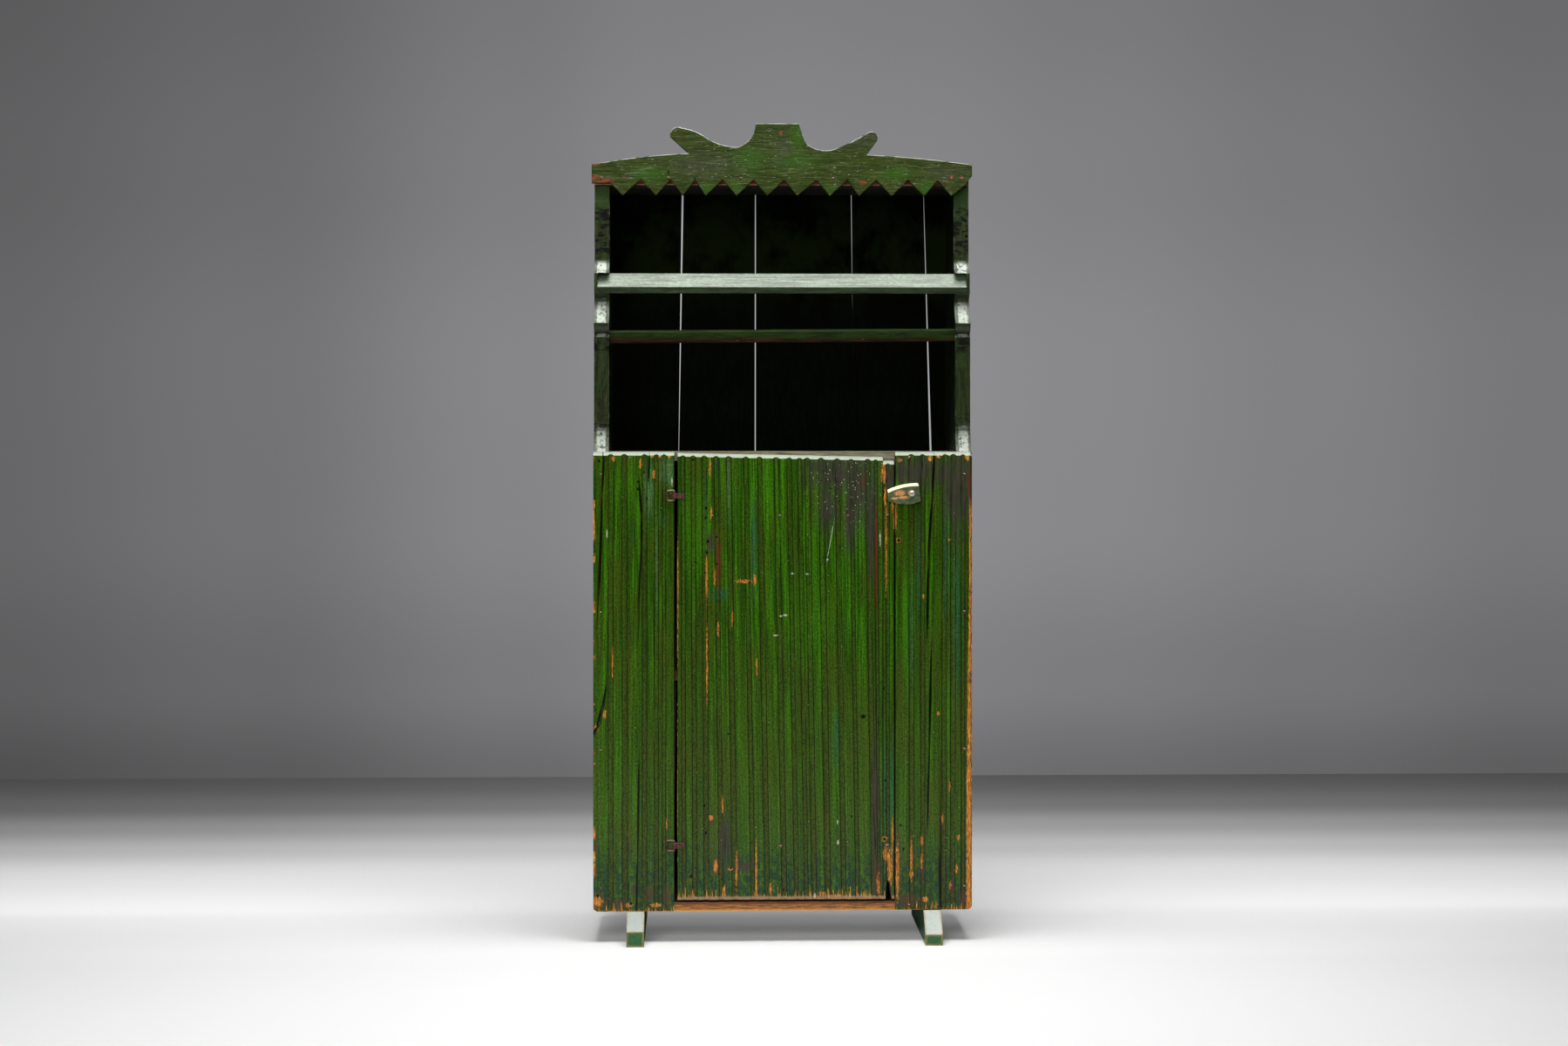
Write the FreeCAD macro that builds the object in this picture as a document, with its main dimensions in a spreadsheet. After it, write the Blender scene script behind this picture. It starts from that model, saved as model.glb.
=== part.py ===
import FreeCAD, Part
import math
import os

# A painted country cupboard: a lower box with one fluted door between two fixed
# fluted boards, and an open rack above it under a saw-toothed crest.
# The frame has +Z up and the front facing -Y. The origin lies on the floor under
# the middle of the footprint. Depth is drawn as a setback from the lower front face.

V = FreeCAD.Vector
doc = FreeCAD.newDocument("Cupboard")

# Driving dimensions in millimetres
SIZES = {
    # Carcass
    "cabinet_wide": 802,
    "front_high": 971,
    "hutch_high": 567,
    "frame_deep": 276,
    "side_thick": 32,
    "front_thick": 22,
    "back_thick": 20,
    "back_joint_fit": 0.2,
    "shelf_thick": 20,
    "bottom_thick": 19,
    "housing_deep": 8,
    "tongue_thick": 12,
    # Front edge of the side boards
    "upper_setback": 78,
    "middle_setback": 42,
    "nose_setback": 31,
    "block_setback": 50,
    "ledge_deep": 10,
    "ledge_high": 7,
    # Runners
    "runner_high": 66,
    "runner_wide": 37,
    "runner_long": 377,
    "toe_reach": 51,
    "left_toe_face": 32,
    "right_toe_face": 23,
    "left_runner_inset": 71,
    "right_runner_inset": 66.5,
    # Fluted front boards and door
    "left_board_wide": 171,
    "hinge_gap": 6.5,
    "door_strip_wide": 24,
    "latch_gap": 2,
    "right_board_wide": 163.5,
    "door_back_clear": 0.4,
    "door_sill_gap": 5,
    "door_top_gap": 2,
    "door_drop": 9,
    "strip_drop": 8,
    "flute_wide": 13,
    "flute_deep": 3.5,
    "top_bevel": 8,
    "corner_round": 11,
    "worn_arris": 4,
    "split_wide": 1.8,
    "split_deep": 9,
    "sill_setback": 2,
    "sill_side_gap": 0.5,
    "batten_thick": 20,
    "batten_high": 60,
    "batten_inset": 18,
    # Rails of the open rack
    "rail_high": 43,
    "rail_deep": 32,
    "rail_lip": 13,
    "rail_flat": 8,
    "rail_proud": 2,
    "notch_cheek": 7,
    "low_rail_high": 27,
    "low_rail_deep": 20,
    "low_rail_setback": 56,
    "low_rail_rise": 5,
    "low_rail_chamfer": 5,
    "low_rail_fit": 0.3,
    # Crest
    "crest_overhang": 5.5,
    "crest_high": 154,
    "crest_thick": 20,
    "crest_below_roof": 40,
    "tooth_deep": 34,
    # Shelf inside the lower box
    "cleat_thick": 20,
    "cleat_long": 210,
    "shelf_setback": 30,
    "shelf_side_gap": 1,
    # Iron loop hinges
    "hinge_pin_radius": 2.2,
    "hinge_pin_inset": 0.5,
    "hinge_clearance": 0.1,
    "hinge_proud": 5.4,
    "barrel_radius": 4.9,
    "strap_high": 11,
    "strap_thick": 2.6,
    "strap_long": 22,
    "strap_round": 4,
    "loop_wide": 15.5,
    "loop_high": 21.6,
    "loop_corner": 3.5,
    "spur_deep": 14,
    "spur_radius": 1.6,
    "hinge_top_drop": 93,
    "hinge_low_rise": 139,
    # Turn button
    "button_long": 70,
    "button_high": 45,
    "button_thick": 16,
    "button_bevel": 6,
    "button_gap": 0.3,
    "button_inset": 34.5,
    "button_drop": 88,
    "pivot_radius": 2.2,
    "pivot_fit": 0.08,
    "pivot_deep": 18,
    "pivot_head_radius": 6,
    "pivot_head_high": 2.5,
    # Forged nails
    "nail_wide": 3,
    "nail_tip": 1,
    "nail_head_wide": 7,
    "nail_head_high": 2,
    "nail_proud": 0.8,
    "nail_long": 45,
    "nail_cover": 4,
    # Length by which cuts overrun the wood
    "overrun": 1,
}

sheet = doc.addObject("Spreadsheet::Sheet", "Size")
for row, (alias, value) in enumerate(SIZES.items(), start=1):
    sheet.set(f"A{row}", alias)
    sheet.set(f"B{row}", str(value))
    sheet.setAlias(f"B{row}", alias)
doc.recompute()


class Sizes:
    """The sheet's values in millimetres, one attribute for each alias."""


mm = Sizes()
for alias in SIZES:
    setattr(mm, alias, float(sheet.get(alias)))

# Levels and depths that several pieces share
front_top = mm.runner_high + mm.front_high
hutch_top = front_top + mm.hutch_high
roof_top = hutch_top + mm.shelf_thick
half_wide = mm.cabinet_wide / 2
inner_wide = mm.cabinet_wide - 2 * mm.side_thick
counter_low = front_top - mm.shelf_thick
left_face = -half_wide
right_face = half_wide

# Edges and levels of the front boards and the door
board_inner = left_face + mm.left_board_wide
door_left = board_inner + mm.hinge_gap
right_board_left = right_face - mm.right_board_wide
door_right = right_board_left - mm.latch_gap
strip_left = door_right - mm.door_strip_wide
door_board_wide = strip_left - door_left
box_low = mm.runner_high
door_low = box_low + mm.bottom_thick + mm.door_sill_gap
door_high = front_top - mm.door_top_gap
strip_high = door_high - mm.door_drop - mm.strip_drop
corner = mm.corner_round

# Heights in the rack, as shares of the height from the counter to the roof
SWEEP_TOP_SHARE = 0.141
LEDGE_SHARE = 0.432
NOSE_SHARE = 0.483
RAIL_SHARE = 0.596
LOW_RAIL_SHARE = 0.408

rail_low = front_top + RAIL_SHARE * mm.hutch_high
rail_top = rail_low + mm.rail_high
rail_front = mm.block_setback - mm.rail_proud
rail_back = rail_front + mm.rail_deep
low_rail_low = front_top + LOW_RAIL_SHARE * mm.hutch_high

# The same levels as expressions on the sheet
FRONT_Y = "(Size.toe_reach - Size.runner_long / 2)"
FRONT_TOP = "(Size.runner_high + Size.front_high)"
HUTCH_TOP = "(Size.runner_high + Size.front_high + Size.hutch_high)"
INNER_WIDE = "(Size.cabinet_wide - 2 * Size.side_thick)"
CARCASS_DEEP = "(Size.frame_deep - Size.front_thick)"

TOLERANCE = 1e-5
subparts = []


def bind(obj, expressions):
    """Ties properties of an object to cells of the sheet."""
    for name, text in expressions.items():
        obj.setExpression(name, text)


def plain_board(label, wide, deep, high, x, setback, z):
    """A squared board, from its low corner, with its depth counted from the front."""
    box = doc.addObject("Part::Box", label)
    box.Label = label
    bind(box, {"Length": wide, "Width": deep, "Height": high})
    bind(box, {
        "Placement.Base.x": x,
        "Placement.Base.y": f"{FRONT_Y} + {setback}",
        "Placement.Base.z": z,
    })
    subparts.append(box)
    return box


def new_body(label, x="0", y="0", z="0"):
    """A body whose own origin lies in the front face, moved by its Placement."""
    body = doc.addObject("PartDesign::Body", label)
    body.Label = label
    bind(body, {
        "Placement.Base.x": x,
        "Placement.Base.y": f"{FRONT_Y} + {y}",
        "Placement.Base.z": z,
    })
    subparts.append(body)
    return body


def new_sketch(body, plane, offset="0"):
    """A sketch on one of the body's origin planes, moved along that plane's normal."""
    sketch = body.newObject("Sketcher::SketchObject", body.Label + "_sketch")
    support = next(f for f in body.Origin.OriginFeatures if f.Role == plane)
    sketch.AttachmentSupport = [(support, "")]
    sketch.MapMode = "FlatFace"
    sketch.setExpression("AttachmentOffset.Base.z", offset)
    return sketch


def draw(sketch, points):
    """Draws a closed outline of (across, up, bulge) points.

    A stretch with no bulge is straight. Any other is an arc that rises to the left
    of its chord, by that share of the chord's length.
    """
    for before, (across, up, bulge) in zip(points[-1:] + points[:-1], points):
        start = V(before[0], before[1], 0)
        end = V(across, up, 0)
        if bulge:
            chord = end - start
            middle = (start + end) / 2 + V(-chord.y, chord.x, 0) * bulge
            sketch.addGeometry(Part.Arc(start, middle, end))
        else:
            sketch.addGeometry(Part.LineSegment(start, end))
    return sketch


def draw_box(sketch, low_across, low_up, high_across, high_up):
    """Draws a rectangle between two corners."""
    return draw(sketch, [
        (low_across, low_up, 0),
        (high_across, low_up, 0),
        (high_across, high_up, 0),
        (low_across, high_up, 0),
    ])


def pad(body, sketch, length, reverse=False, both_ways=False):
    """Pads a sketch along its normal, against it, or half each way."""
    feature = body.newObject("PartDesign::Pad", body.Label + "_pad")
    feature.Profile = sketch
    feature.setExpression("Length", length)
    feature.Reversed = reverse
    feature.SideType = "Symmetric" if both_ways else "One side"
    return feature


def pocket(body, sketch, length, reverse=False):
    """Cuts a sketch against its normal, or along it when reversed."""
    feature = body.newObject("PartDesign::Pocket", body.Label + "_pocket")
    feature.Profile = sketch
    feature.setExpression("Length", length)
    feature.Reversed = reverse
    return feature


def edges_where(feature, test):
    """Names of a feature's edges whose two ends both pass a test."""
    doc.recompute()
    return [
        f"Edge{number}"
        for number, edge in enumerate(feature.Shape.Edges, start=1)
        if all(test(vertex.Point) for vertex in edge.Vertexes)
    ]


def dress(body, kind, base, edges, size_name, size_text):
    """Adds a chamfer or a fillet to the named edges."""
    feature = body.newObject(kind, body.Label + "_dress")
    feature.Base = (base, edges)
    feature.setExpression(size_name, size_text)
    return feature


def same(one, other):
    """True where two lengths agree within the modeller's tolerance."""
    return abs(one - other) < TOLERANCE


# Side boards

def side_outline():
    """Front edge of a side board with its two cusps, then its top, back and foot."""
    setback = mm.upper_setback
    sweep_top = front_top + SWEEP_TOP_SHARE * mm.hutch_high
    ledge = front_top + LEDGE_SHARE * mm.hutch_high
    nose = front_top + NOSE_SHARE * mm.hutch_high
    block = mm.block_setback
    waist = (block + setback) / 2 + mm.ledge_high / 2
    return [
        (mm.front_thick, mm.runner_high, 0),
        (mm.front_thick, front_top, 0),
        (mm.middle_setback, sweep_top, -0.07),
        (mm.middle_setback, ledge, 0),
        (mm.middle_setback + mm.ledge_deep, ledge + mm.ledge_high, 0),
        (mm.nose_setback, nose, 0.2),
        (waist, rail_low - mm.ledge_deep, -0.13),
        (block, rail_low, 0),
        (block, rail_top, 0),
        (block + mm.ledge_high, rail_top + mm.rail_proud, 0),
        (setback, rail_top + mm.rail_deep, -0.16),
        (setback, hutch_top, 0),
        (mm.frame_deep, hutch_top, 0),
        (mm.frame_deep, mm.runner_high, 0),
    ]


def side_board(label, outer_face, inner_face, left_hand, rail_end_low):
    """A side board with housings for the boards, a notch for the upper rail
    that stops short of the outer face, and a mortise for the lower rail."""
    body = new_body(label)
    board_from = outer_face if left_hand else inner_face
    pad(body, draw(new_sketch(body, "YZ_Plane", board_from), side_outline()), "Size.side_thick")
    housings = [
        (mm.front_thick, counter_low, mm.frame_deep, counter_low + mm.tongue_thick),
        (mm.front_thick, mm.runner_high, mm.frame_deep, mm.runner_high + mm.bottom_thick),
        (mm.low_rail_setback, rail_end_low,
         mm.low_rail_setback + mm.low_rail_deep, rail_end_low + mm.low_rail_high + mm.low_rail_fit),
    ]
    for corners in housings:
        sketch = draw_box(new_sketch(body, "YZ_Plane", inner_face), *corners)
        pocket(body, sketch, "Size.housing_deep", reverse=not left_hand)
    notch = draw_box(new_sketch(body, "YZ_Plane", inner_face),
                     mm.nose_setback, rail_low, rail_back, rail_top)
    pocket(body, notch, "Size.side_thick - Size.notch_cheek", reverse=not left_hand)
    return body


side_board("left_side_board", "-Size.cabinet_wide / 2", f"-{INNER_WIDE} / 2", True,
           low_rail_low)
side_board("right_side_board", "Size.cabinet_wide / 2", f"{INNER_WIDE} / 2", False,
           low_rail_low + mm.low_rail_rise)

# Boards across the carcass
plain_board("top_board", "Size.cabinet_wide", "Size.frame_deep - Size.upper_setback",
            "Size.shelf_thick", "-Size.cabinet_wide / 2", "Size.upper_setback", HUTCH_TOP)


def bottom():
    """Board under the lower box. Its nose comes forward under the door as a sill."""
    body = new_body("bottom_board", z="Size.runner_high")
    reach = inner_wide / 2 + mm.housing_deep
    nose_left = board_inner + mm.sill_side_gap
    nose_right = right_board_left - mm.sill_side_gap
    plan = draw(new_sketch(body, "XY_Plane"), [
        (reach, mm.front_thick, 0),
        (reach, mm.frame_deep, 0),
        (-reach, mm.frame_deep, 0),
        (-reach, mm.front_thick, 0),
        (nose_left, mm.front_thick, 0),
        (nose_left, mm.sill_setback, 0),
        (nose_right, mm.sill_setback, 0),
        (nose_right, mm.front_thick, 0),
    ])
    pad(body, plan, "Size.bottom_thick")


def counter():
    """Board on top of the lower box, with a tongue along the foot of each end."""
    body = new_body("counter_board")
    tongue_up = counter_low + mm.tongue_thick
    shoulder = inner_wide / 2
    reach = shoulder + mm.housing_deep
    sketch = draw(new_sketch(body, "XZ_Plane", "-Size.front_thick"), [
        (-reach, counter_low, 0),
        (reach, counter_low, 0),
        (reach, tongue_up, 0),
        (shoulder, tongue_up, 0),
        (shoulder, front_top, 0),
        (-shoulder, front_top, 0),
        (-shoulder, tongue_up, 0),
        (-reach, tongue_up, 0),
    ])
    pad(body, sketch, CARCASS_DEEP, reverse=True)


bottom()
counter()

# Shelf inside the lower box, on a cleat at each side
SHELF_LOW = "Size.runner_high + Size.front_high / 2"
plain_board("inner_shelf", f"{INNER_WIDE} - 2 * Size.shelf_side_gap",
            "Size.frame_deep - Size.shelf_setback", "Size.shelf_thick",
            f"-{INNER_WIDE} / 2 + Size.shelf_side_gap", "Size.shelf_setback", SHELF_LOW)
for label, cleat_x in [
    ("left_shelf_cleat", f"-{INNER_WIDE} / 2"),
    ("right_shelf_cleat", f"{INNER_WIDE} / 2 - Size.cleat_thick"),
]:
    plain_board(label, "Size.cleat_thick", "Size.cleat_long", "Size.cleat_thick", cleat_x,
                "Size.frame_deep - Size.cleat_long", f"{SHELF_LOW} - Size.cleat_thick")

# Back boards, sawn to a taper, with open joints between them.
# Each row has the left and right edges at the roof, then at the floor of the box,
# as shares of half the cabinet's width.
BACK_SHARES = [
    (-1.0, -0.538, -1.0, -0.586),
    (-0.5275, -0.134, -0.5855, -0.137),
    (-0.128, 0.396, -0.131, 0.446),
    (0.4025, 0.797, 0.4465, 0.894),
    (0.8025, 1.0, 0.922, 1.0),
]
# The boards that touch their left neighbour lower down, each with the height up to
# which their joint is closed, as a share of the back's
CLOSED_JOINT_SHARES = {1: 0.54, 3: 0.713}

for number, (left_up, right_up, left_low, right_low) in enumerate(BACK_SHARES):
    body = new_body(f"back_board_{number + 1}")
    outline = [
        (left_low * half_wide, mm.runner_high, 0),
        (right_low * half_wide, mm.runner_high, 0),
        (right_up * half_wide, roof_top, 0),
        (left_up * half_wide, roof_top, 0),
    ]
    if number in CLOSED_JOINT_SHARES:
        closed_share = CLOSED_JOINT_SHARES[number]
        _, beside_up, _, beside_low = BACK_SHARES[number - 1]
        beside = beside_low + closed_share * (beside_up - beside_low)
        closed_up = mm.runner_high + closed_share * (roof_top - mm.runner_high)
        outline.append((beside * half_wide + mm.back_joint_fit, closed_up, 0))
    sketch = draw(new_sketch(body, "XZ_Plane", "-Size.frame_deep"), outline)
    pad(body, sketch, "Size.back_thick", reverse=True)


# Rails of the open rack

def upper_rail():
    """Bar with a broad sloping face, let into the front edges of the sides."""
    body = new_body("upper_rail")
    sketch = draw(new_sketch(body, "YZ_Plane"), [
        (rail_front, rail_low, 0),
        (rail_back, rail_low, 0),
        (rail_back, rail_top, 0),
        (rail_back - mm.rail_flat, rail_top, 0),
        (rail_front, rail_low + mm.rail_lip, 0),
    ])
    pad(body, sketch, "Size.cabinet_wide - 2 * Size.notch_cheek", both_ways=True)


def lower_rail():
    """Thin bar mortised between the sides, a little higher at its right end."""
    body = new_body("lower_rail")
    reach = inner_wide / 2 + mm.housing_deep
    low = low_rail_low
    high = low_rail_low + mm.low_rail_rise
    sketch = draw(new_sketch(body, "XZ_Plane", "-Size.low_rail_setback"), [
        (-reach, low, 0),
        (reach, high, 0),
        (reach, high + mm.low_rail_high, 0),
        (-reach, low + mm.low_rail_high, 0),
    ])
    bar = pad(body, sketch, "Size.low_rail_deep", reverse=True)
    edges = edges_where(bar, lambda p: same(p.y, mm.low_rail_setback) and p.z > high)
    dress(body, "PartDesign::Chamfer", bar, edges, "Size", "Size.low_rail_chamfer")


upper_rail()
lower_rail()

# Crest board. Its outline is drawn in shares of half its width and of its height.
# The third number is the bulge of the stretch that ends at the point.
CREST_TOP_SHARES = [
    (1.0, 0.279, 0),
    (1.0, 0.438, 0),
    (0.446, 0.570, -0.012),
    (0.499, 0.765, 0),
    (0.455, 0.884, -0.34),
    (0.286, 0.656, 0.02),
    (0.131, 0.716, 0.13),
    (0.089, 1.0, 0.03),
    (-0.140, 1.0, 0),
    (-0.241, 0.668, 0.17),
    (-0.387, 0.777, 0.05),
    (-0.529, 0.935, -0.07),
    (-0.588, 0.815, -0.32),
    (-0.492, 0.583, 0),
    (-1.0, 0.426, -0.018),
    (-1.0, 0.169, 0),
]
TOOTH_TIP_SHARES = [
    -0.838, -0.663, -0.5225, -0.4034, -0.2396, -0.0785,
    0.0787, 0.2507, 0.4049, 0.5759, 0.7483, 0.8913,
]
TOOTH_NOTCH_SHARES = [
    -0.7442, -0.587, -0.4571, -0.3137, -0.1513, 0.0098,
    0.1808, 0.3419, 0.4935, 0.6615, 0.8185,
]
TOOTH_ENDS_SHARES = [(-0.904, 0.175), (0.962, 0.150)]


def crest_board():
    """Board with a row of saw teeth below and a raised block between two horns."""
    body = new_body("crest_board")
    half = half_wide + mm.crest_overhang
    foot = roof_top - mm.crest_below_roof
    notch_up = foot + mm.tooth_deep
    first, last = TOOTH_ENDS_SHARES
    points = [(first[0] * half, foot + first[1] * mm.crest_high, 0)]
    for tip, notch in zip(TOOTH_TIP_SHARES, TOOTH_NOTCH_SHARES + [None]):
        points.append((tip * half, foot, 0))
        if notch is not None:
            points.append((notch * half, notch_up, 0))
    points.append((last[0] * half, foot + last[1] * mm.crest_high, 0))
    points += [(x * half, foot + up * mm.crest_high, bulge)
               for x, up, bulge in CREST_TOP_SHARES]
    sketch = draw(
        new_sketch(body, "XZ_Plane", "Size.crest_thick - Size.upper_setback"), points)
    pad(body, sketch, "Size.crest_thick", reverse=True)


crest_board()


# Fluted boards of the lower front, drawn anticlockwise

# Flat strokes of the hollow plane that leave one flute
FLUTE_STROKES = 5


def fluted_board(label, outline, flute_shares, left, wide, thick, worn_side=None):
    """A front board with hollow flutes run down its face and a bevel along its top.

    Each row of shares is the flat land before a flute at the top, out of all the width
    that the flutes leave, the flute's size out of the full flute's, and its lean to the
    right out of its height. The bevel is cut first, so that the hollows climb into it
    and end there as round tops. The arris at worn_side is rubbed to a flat.
    """
    body = new_body(label)
    board = pad(body, draw(new_sketch(body, "XZ_Plane"), outline), thick, reverse=True)
    levels = [up for _, up, _ in outline]
    middle_up = (max(levels) + min(levels)) / 2
    edges = edges_where(board, lambda p: same(p.y, 0) and p.z > middle_up)
    beveled = dress(body, "PartDesign::Chamfer", board, edges, "Size", "Size.top_bevel")
    if worn_side is not None:
        edges = edges_where(
            beveled, lambda p: same(p.x, worn_side) and p.y < mm.top_bevel + TOLERANCE)
        dress(body, "PartDesign::Chamfer", beveled, edges, "Size", "Size.worn_arris")
    lands = wide - mm.flute_wide * sum(row[1] for row in flute_shares)
    near = left
    for land_share, size, lean_share in flute_shares:
        near += land_share * lands
        far = near + size * mm.flute_wide
        lean = lean_share * max(levels)
        floor = []
        for stroke in range(FLUTE_STROKES + 1):
            across = stroke / FLUTE_STROKES
            deep = 4 * across * (1 - across) * size * mm.flute_deep
            floor.append((far + lean - across * (far - near), deep, 0))
        opening = [(near + lean, -mm.overrun, 0), (far + lean, -mm.overrun, 0)]
        plan = draw(new_sketch(body, "XY_Plane"), opening + floor)
        cut = pocket(body, plan, "Size.front_high")
        cut.Type = "ThroughAll"
        cut.UseCustomVector = True
        cut.Direction = V(-lean_share, 0, 1)
        near = far
    return body


def split(body, left, wide, places):
    """Cuts a drying split, open at most a little, along places in shares of the
    board's width and height. It runs to a point at both ends."""
    half = mm.split_wide / 2
    line = [(left + across * wide, box_low + up * mm.front_high) for across, up in places]
    ends = (line[0] + (0,), line[-1] + (0,))
    one_side = [(across + half, up, 0) for across, up in line[1:-1]]
    other_side = [(across - half, up, 0) for across, up in reversed(line[1:-1])]
    outline = [ends[0], *one_side, ends[1], *other_side]
    pocket(body, draw(new_sketch(body, "XZ_Plane"), outline), "Size.split_deep")


# Each row is a flute: the flat land before it, its size and its lean
LEFT_FLUTE_SHARES = [
    (0.275, 1.0, 0), (0.135, 1.05, 0.002), (0.271, 0.95, 0), (0.12, 0.85, 0),
    (0.051, 0.8, 0),
]
DOOR_FLUTE_SHARES = [
    (0.024, 0.85, 0.003), (0.044, 0.9, 0.004), (0.045, 1.0, 0.005), (0.052, 0.9, 0.012),
    (0.059, 1.0, 0.014), (0.099, 0.9, 0.016), (0.068, 1.0, 0.018), (0.092, 1.0, 0.019),
    (0.063, 0.9, 0.017), (0.043, 0.85, 0.016), (0.017, 1.0, 0.0165), (0.066, 1.1, 0.016),
    (0.086, 0.95, 0.0155), (0.076, 0.8, 0.0145), (0.096, 1.0, 0.0145), (0.025, 0.7, 0.008),
]
STRIP_FLUTE_SHARES = [(0.403, 0.7, 0)]
RIGHT_FLUTE_SHARES = [
    (0.270, 1.0, 0.001), (0.113, 0.9, 0), (0.348, 0.95, -0.004), (0.047, 1.0, -0.002),
    (0.082, 0.8, 0),
]
# Places of the drying splits in the two fixed boards, across and up
LEFT_SPLIT_SHARES = [
    [(0.125, 1.04), (0.119, 0.99), (0.088, 0.845), (0.06, 0.69), (0.04, 0.59)],
    [(0.175, 0.55), (0.135, 0.448), (0.09, 0.41), (0.0, 0.382), (-0.05, 0.37)],
    [(0.69, 1.03), (0.694, 0.96), (0.697, 0.9)],
    [(0.602, 0.89), (0.585, 0.77), (0.565, 0.63), (0.555, 0.58)],
    [(0.565, 0.3), (0.555, 0.16), (0.531, 0.02), (0.52, -0.04)],
]
RIGHT_SPLIT_SHARES = [
    [(0.518, 1.04), (0.483, 0.898), (0.451, 0.816), (0.426, 0.665), (0.407, 0.585)],
    [(0.476, 0.595), (0.469, 0.465), (0.446, 0.355), (0.42, 0.2)],
    [(0.572, 0.36), (0.584, 0.18), (0.592, 0.02), (0.6, -0.05)],
]
# Ragged break at the foot of the door's strip, from left to right
BREAK_SHARES = [(0.22, 0), (0.31, 0.024), (0.43, 0.047), (0.58, 0.018), (0.81, 0)]
# Bulge of a quarter circle that swells out of an outline
QUARTER_BULGE_SHARE = -0.2071

DOOR_THICK = "(Size.front_thick - Size.door_back_clear)"

left_board = fluted_board("left_front_board", [
    (left_face + corner, box_low, QUARTER_BULGE_SHARE),
    (board_inner, box_low, 0),
    (board_inner, front_top, 0),
    (left_face, front_top, 0),
    (left_face, box_low + corner, 0),
], LEFT_FLUTE_SHARES, left_face, mm.left_board_wide, "Size.front_thick")
for places in LEFT_SPLIT_SHARES:
    split(left_board, left_face, mm.left_board_wide, places)

right_board = fluted_board("right_front_board", [
    (right_board_left, box_low, 0),
    (right_face - corner, box_low, 0),
    (right_face, box_low + corner, QUARTER_BULGE_SHARE),
    (right_face, front_top, 0),
    (right_board_left, front_top, 0),
], RIGHT_FLUTE_SHARES, right_board_left, mm.right_board_wide, "Size.front_thick",
    worn_side=right_face)
for places in RIGHT_SPLIT_SHARES:
    split(right_board, right_board_left, mm.right_board_wide, places)

fluted_board("door_board", [
    (door_left, door_low, 0),
    (strip_left, door_low, 0),
    (strip_left, door_high - mm.door_drop, 0),
    (door_left, door_high, 0),
], DOOR_FLUTE_SHARES, door_left, door_board_wide, DOOR_THICK)

strip_wide = mm.door_strip_wide
strip_tall = strip_high - door_low
fluted_board("door_edge_strip", [
    (strip_left, door_low, 0),
    *[(strip_left + across * strip_wide, door_low + up * strip_tall, 0)
      for across, up in BREAK_SHARES],
    (door_right, door_low, 0),
    (door_right, strip_high, 0),
    (strip_left, strip_high, 0),
], STRIP_FLUTE_SHARES, strip_left, strip_wide, DOOR_THICK)

# Battens that hold the door's boards together from behind.
# Their middles are at these shares of the height from the sill to the counter.
LOWER_BATTEN_SHARE = 0.14
UPPER_BATTEN_SHARE = 0.86
DOOR_LEFT = "(-Size.cabinet_wide / 2 + Size.left_board_wide + Size.hinge_gap)"
DOOR_WIDE = ("(Size.cabinet_wide - Size.left_board_wide - Size.hinge_gap"
             " - Size.latch_gap - Size.right_board_wide)")
for label, share in [
    ("lower_door_batten", LOWER_BATTEN_SHARE),
    ("upper_door_batten", UPPER_BATTEN_SHARE),
]:
    plain_board(label, f"{DOOR_WIDE} - 2 * Size.batten_inset", "Size.batten_thick",
                "Size.batten_high", f"{DOOR_LEFT} + Size.batten_inset", DOOR_THICK,
                f"Size.runner_high + {share} * Size.front_high - Size.batten_high / 2")


# Runners under the box

def runner(label, centre, toe_face):
    """A runner laid from front to back, with its top planed down at both ends."""
    body = new_body(label)
    heel = mm.runner_long - mm.toe_reach
    sketch = draw(new_sketch(body, "YZ_Plane", centre), [
        (-mm.toe_reach, 0, 0),
        (heel, 0, 0),
        (heel, toe_face, 0),
        (mm.frame_deep + mm.back_thick, mm.runner_high, 0),
        (0, mm.runner_high, 0),
        (-mm.toe_reach, toe_face, 0),
    ])
    pad(body, sketch, "Size.runner_wide", both_ways=True)


LEFT_RUNNER_X = "-Size.cabinet_wide / 2 + Size.left_runner_inset + Size.runner_wide / 2"
RIGHT_RUNNER_X = "Size.cabinet_wide / 2 - Size.right_runner_inset - Size.runner_wide / 2"
runner("left_runner", LEFT_RUNNER_X, mm.left_toe_face)
runner("right_runner", RIGHT_RUNNER_X, mm.right_toe_face)


# Loop hinges of forged iron. Each is drawn about its own pin, which stands upright
# in front of the gap between the left board and the door.

HINGE_X = "-Size.cabinet_wide / 2 + Size.left_board_wide + Size.hinge_pin_inset"
HAMMERED_SIDES = 8
HINGE_LEVELS = {
    "upper": f"{FRONT_TOP} - Size.hinge_top_drop",
    "lower": "Size.runner_high + Size.hinge_low_rise",
}


def circle(sketch, across, up, radius):
    """Draws a circle."""
    sketch.addGeometry(Part.Circle(V(across, up, 0), V(0, 0, 1), radius))
    return sketch


def crosses_depth(feature, name):
    """True for an edge that runs from front to back."""
    ends = [vertex.Point for vertex in feature.Shape.getElement(name).Vertexes]
    return same(ends[0].x, ends[1].x) and same(ends[0].z, ends[1].z)


def loop_line():
    """Middle line of the loop. Each corner is hammered round in two short flats."""
    bend = mm.loop_corner
    high = mm.loop_high / 2 - bend
    corners = [(-bend, -high), (-bend, high), (bend - mm.loop_wide, high),
               (bend - mm.loop_wide, -high)]
    points = []
    for quarter, (across, up) in enumerate(corners, start=-1):
        for part in (0, 0.5, 1):
            angle = (quarter + part) * math.pi / 2
            points.append((across + bend * math.cos(angle), up + bend * math.sin(angle), 0))
    return points


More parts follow.
